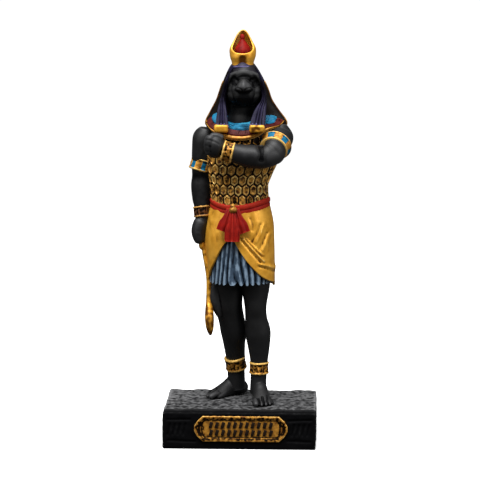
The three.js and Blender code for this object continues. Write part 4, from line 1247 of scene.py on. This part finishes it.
left_lappet = [(-0.6, 0.4, 74.3, 0.2, 0.8), (-2.75, -0.8, 71.6, 0.25, 1.5),
               (-3.5, -1.0, 68.8, 0.35, 1.6), (-3.95, -1.7, 66.4, 0.5, 1.6),
               (-4.05, -3.0, 64.1, 0.9, 1.3), (-4.0, -4.5, 61.2, 1.3, 1.0)]
right_lappet = [(2.0, 0.4, 74.3, 0.2, 0.8), (4.2, -0.8, 71.6, 0.25, 1.5),
                (4.85, -1.0, 68.8, 0.35, 1.6), (4.9, -1.7, 66.4, 0.5, 1.6),
                (4.15, -3.0, 64.1, 1.15, 1.3), (3.55, -4.5, 61.2, 1.55, 1.0)]
locks = join("wig_locks", [lappet(left_lappet), lappet(right_lappet)])
dress(locks, hair_violet, reach=0.3, full=0.07,
      bias=lambda at, out: 0.15 + 0.45 * np.clip((at[:, 2] - 65.5) / 2, 0, 1))


def clasp(x, half):
    """A rounded gold block round the end of a lock."""
    fresh()
    bpy.ops.mesh.primitive_cube_add(
        size=MM, scale=(half * 2 + 0.3, 1.8, 1.7),
        location=(np.array([x, -4.8, 60.9]) + SOLES) * MM)
    block = settled("clasp")
    modify(block, "BEVEL", width=0.45 * MM, segments=4)
    return block


clasps = cast("wig_clasps", [clasp(-4.15, 1.38), clasp(3.6, 1.5)], 0.12, 3)
carve(clasps, lambda at, out: rough(at, 0.9, 6) * 0.08
      - 0.1 * seen(at, [(3.4, 61.0), (3.9, 60.9)], 0.4) * (out[:, 1] < 0))
dress(clasps, gold, reach=0.35, full=0.14,
      bias=lambda at, out: 0.2 + 0.5 * rough(at, 0.8, 5) + 0.45 * (at[:, 0] > 0))

# %% [markdown]
# The double crown: an open gold cup that climbs to a peak at the back, and a red bulb with a
# knob inside it. A potter would turn the cup, hollow it and cut its front away, and so it is
# made here: a turned body, a second one that hollows it, and a cutter in the shape of the
# opening as seen from the side. Both cuts are booleans, and a fine remesh softens their edges.

# %% Turned bodies
CROWN_X, CROWN_Y, CROWN_LEAN, CROWN_FOOT = 0.3, 0.2, 0.14, 73.6


def turned(name, profile, around, along, dx=0.0, dy=0.0):
    """A body of revolution from radii and heights, that leans back as the crown does."""
    def place(angle, t):
        radius, z = glide(profile, t).T
        radius = np.maximum(radius, 0)
        return np.stack([CROWN_X + dx * (z - 78) + radius * np.sin(angle),
                         CROWN_Y + dy - radius * np.cos(angle) + CROWN_LEAN * (z - CROWN_FOOT),
                         z], 1)
    return wrap(name, place, around, along)


# %% Cup
cup = turned("crown_cup", [(0.01, 73.6), (1.95, 73.6), (2.4, 74.9), (2.8, 76.2), (2.88, 77.5),
                           (2.6, 78.4), (2.1, 79.3), (1.65, 80.2), (1.15, 81.05), (0.6, 81.65),
                           (0.01, 81.9)], 96, 60)
hollow = turned("hollow", [(0.01, 76.2), (2.32, 76.2), (2.57, 77.5), (2.28, 78.3), (1.8, 79.2),
                           (1.35, 80.1), (0.9, 80.9), (0.4, 81.4), (0.01, 81.6)], 96, 50)
side_view = [(-6, 76.4), (-2.4, 76.7), (-1.5, 77.1), (-0.8, 77.6), (-0.1, 78.3), (0.5, 79.2),
             (0.85, 80.0), (1.1, 80.8), (1.3, 81.5), (1.45, 82.5), (-6, 82.5)]
HALF_CUT = 4
opening = polygon("opening", [(-HALF_CUT + CROWN_X, y, z) for y, z in side_view])
edit(opening, extrude((2 * HALF_CUT, 0, 0)))
close(opening)
for cutter in (hollow, opening):
    modify(cup, "BOOLEAN", operation="DIFFERENCE", solver="EXACT", object=cutter)
    bpy.data.objects.remove(cutter)
cup = cast("crown_cup", [cup], 0.09, 12)
FRONT_GROOVE = [(0.35, 73.6), (0.35, 75.7)]


def cup_skin(at, out):
    """A groove up the front between two swells, and a hand-made unevenness all round."""
    swells = (seen(at, [(-1.2, 73.8), (-1.2, 75.8)], 0.8)
              + seen(at, [(1.9, 73.8), (1.9, 75.8)], 0.8))
    return ((0.2 * swells - 0.35 * seen(at, FRONT_GROOVE, 0.85)) * (out[:, 1] < -0.2)
            + rough(at, 1.2, 9) * 0.05)


def cup_wash_and_light(at, out):
    """Wet in the groove; inside the cup a painted light, strongest on the left and fading out to
    the right.
    """
    inside = np.clip(-(out[:, 0] * (at[:, 0] - CROWN_X) + out[:, 1] * (at[:, 1] - CROWN_Y)), 0, 1)
    return (1.1 * (out[:, 1] < 0) * seen(at, FRONT_GROOVE, 0.95)
            + inside * (0.25 * rough(at, 1.6, 4) - 0.75 + np.clip(at[:, 0] - 0.3, 0, 0.8)))


carve(cup, cup_skin)
dress(cup, gold, reach=0.3, full=0.5, bias=cup_wash_and_light)

# %% Bulb
bulb = turned("crown_bulb", [(0.01, 75.6), (1.5, 75.8), (1.76, 76.6), (1.74, 77.4), (1.55, 78.0),
                             (1.2, 78.6), (0.8, 79.2), (0.46, 79.75), (0.52, 80.15),
                             (0.45, 80.55), (0.25, 80.85), (0.01, 80.9)], 64, 80, -0.05, -0.45)
# Darker all over, and painted shade on its lower part, down in the cup.
dress(bulb, red, reach=0.3, full=0.25,
      bias=lambda at, out: 0.35 * np.clip(78 - at[:, 2], 0, 1) + 0.4)

# %% [markdown]
# The sickle sword hangs point down from the right fist: a straight grip with a guard, then the
# curved blade. Extruding a blade along a bent line and flattening it would take many small
# steps. It is one limb with a flattened section instead, thin at the grip and broad before the
# point.

# %% Sword
sword = limb("sickle_sword", [
    (-8.5, 0.3, 36.5, 0.5, 0.6), (-8.1, 0.1, 33.2, 0.5, 0.75), (-7.5, 0.0, 30.0, 0.55, 0.85),
    (-7.05, -0.1, 27.0, 0.65, 0.85), (-7.15, -0.3, 22.8, 0.6, 0.85),
    (-7.0, -1.1, 20.6, 0.9, 1.15), (-6.9, -1.9, 18.6, 1.0, 1.35), (-6.8, -1.8, 16.6, 0.8, 1.1),
    (-6.74, -1.1, 15.1, 0.3, 0.45)], 48, 120, blunt=0.02)
guard = ball("guard", (-8.65, 0.1, 34.9), (0.7, 0.95, 1.15))
sword = join("sickle_sword", [sword, guard])
# Worn, and darkest on the blade.
dress(sword, gold, reach=0.3, full=0.12, bias=lambda at, out:
      0.5 + 0.35 * np.clip(22 - at[:, 2], 0, 1) + 0.6 * rough(at, 0.9, 3))
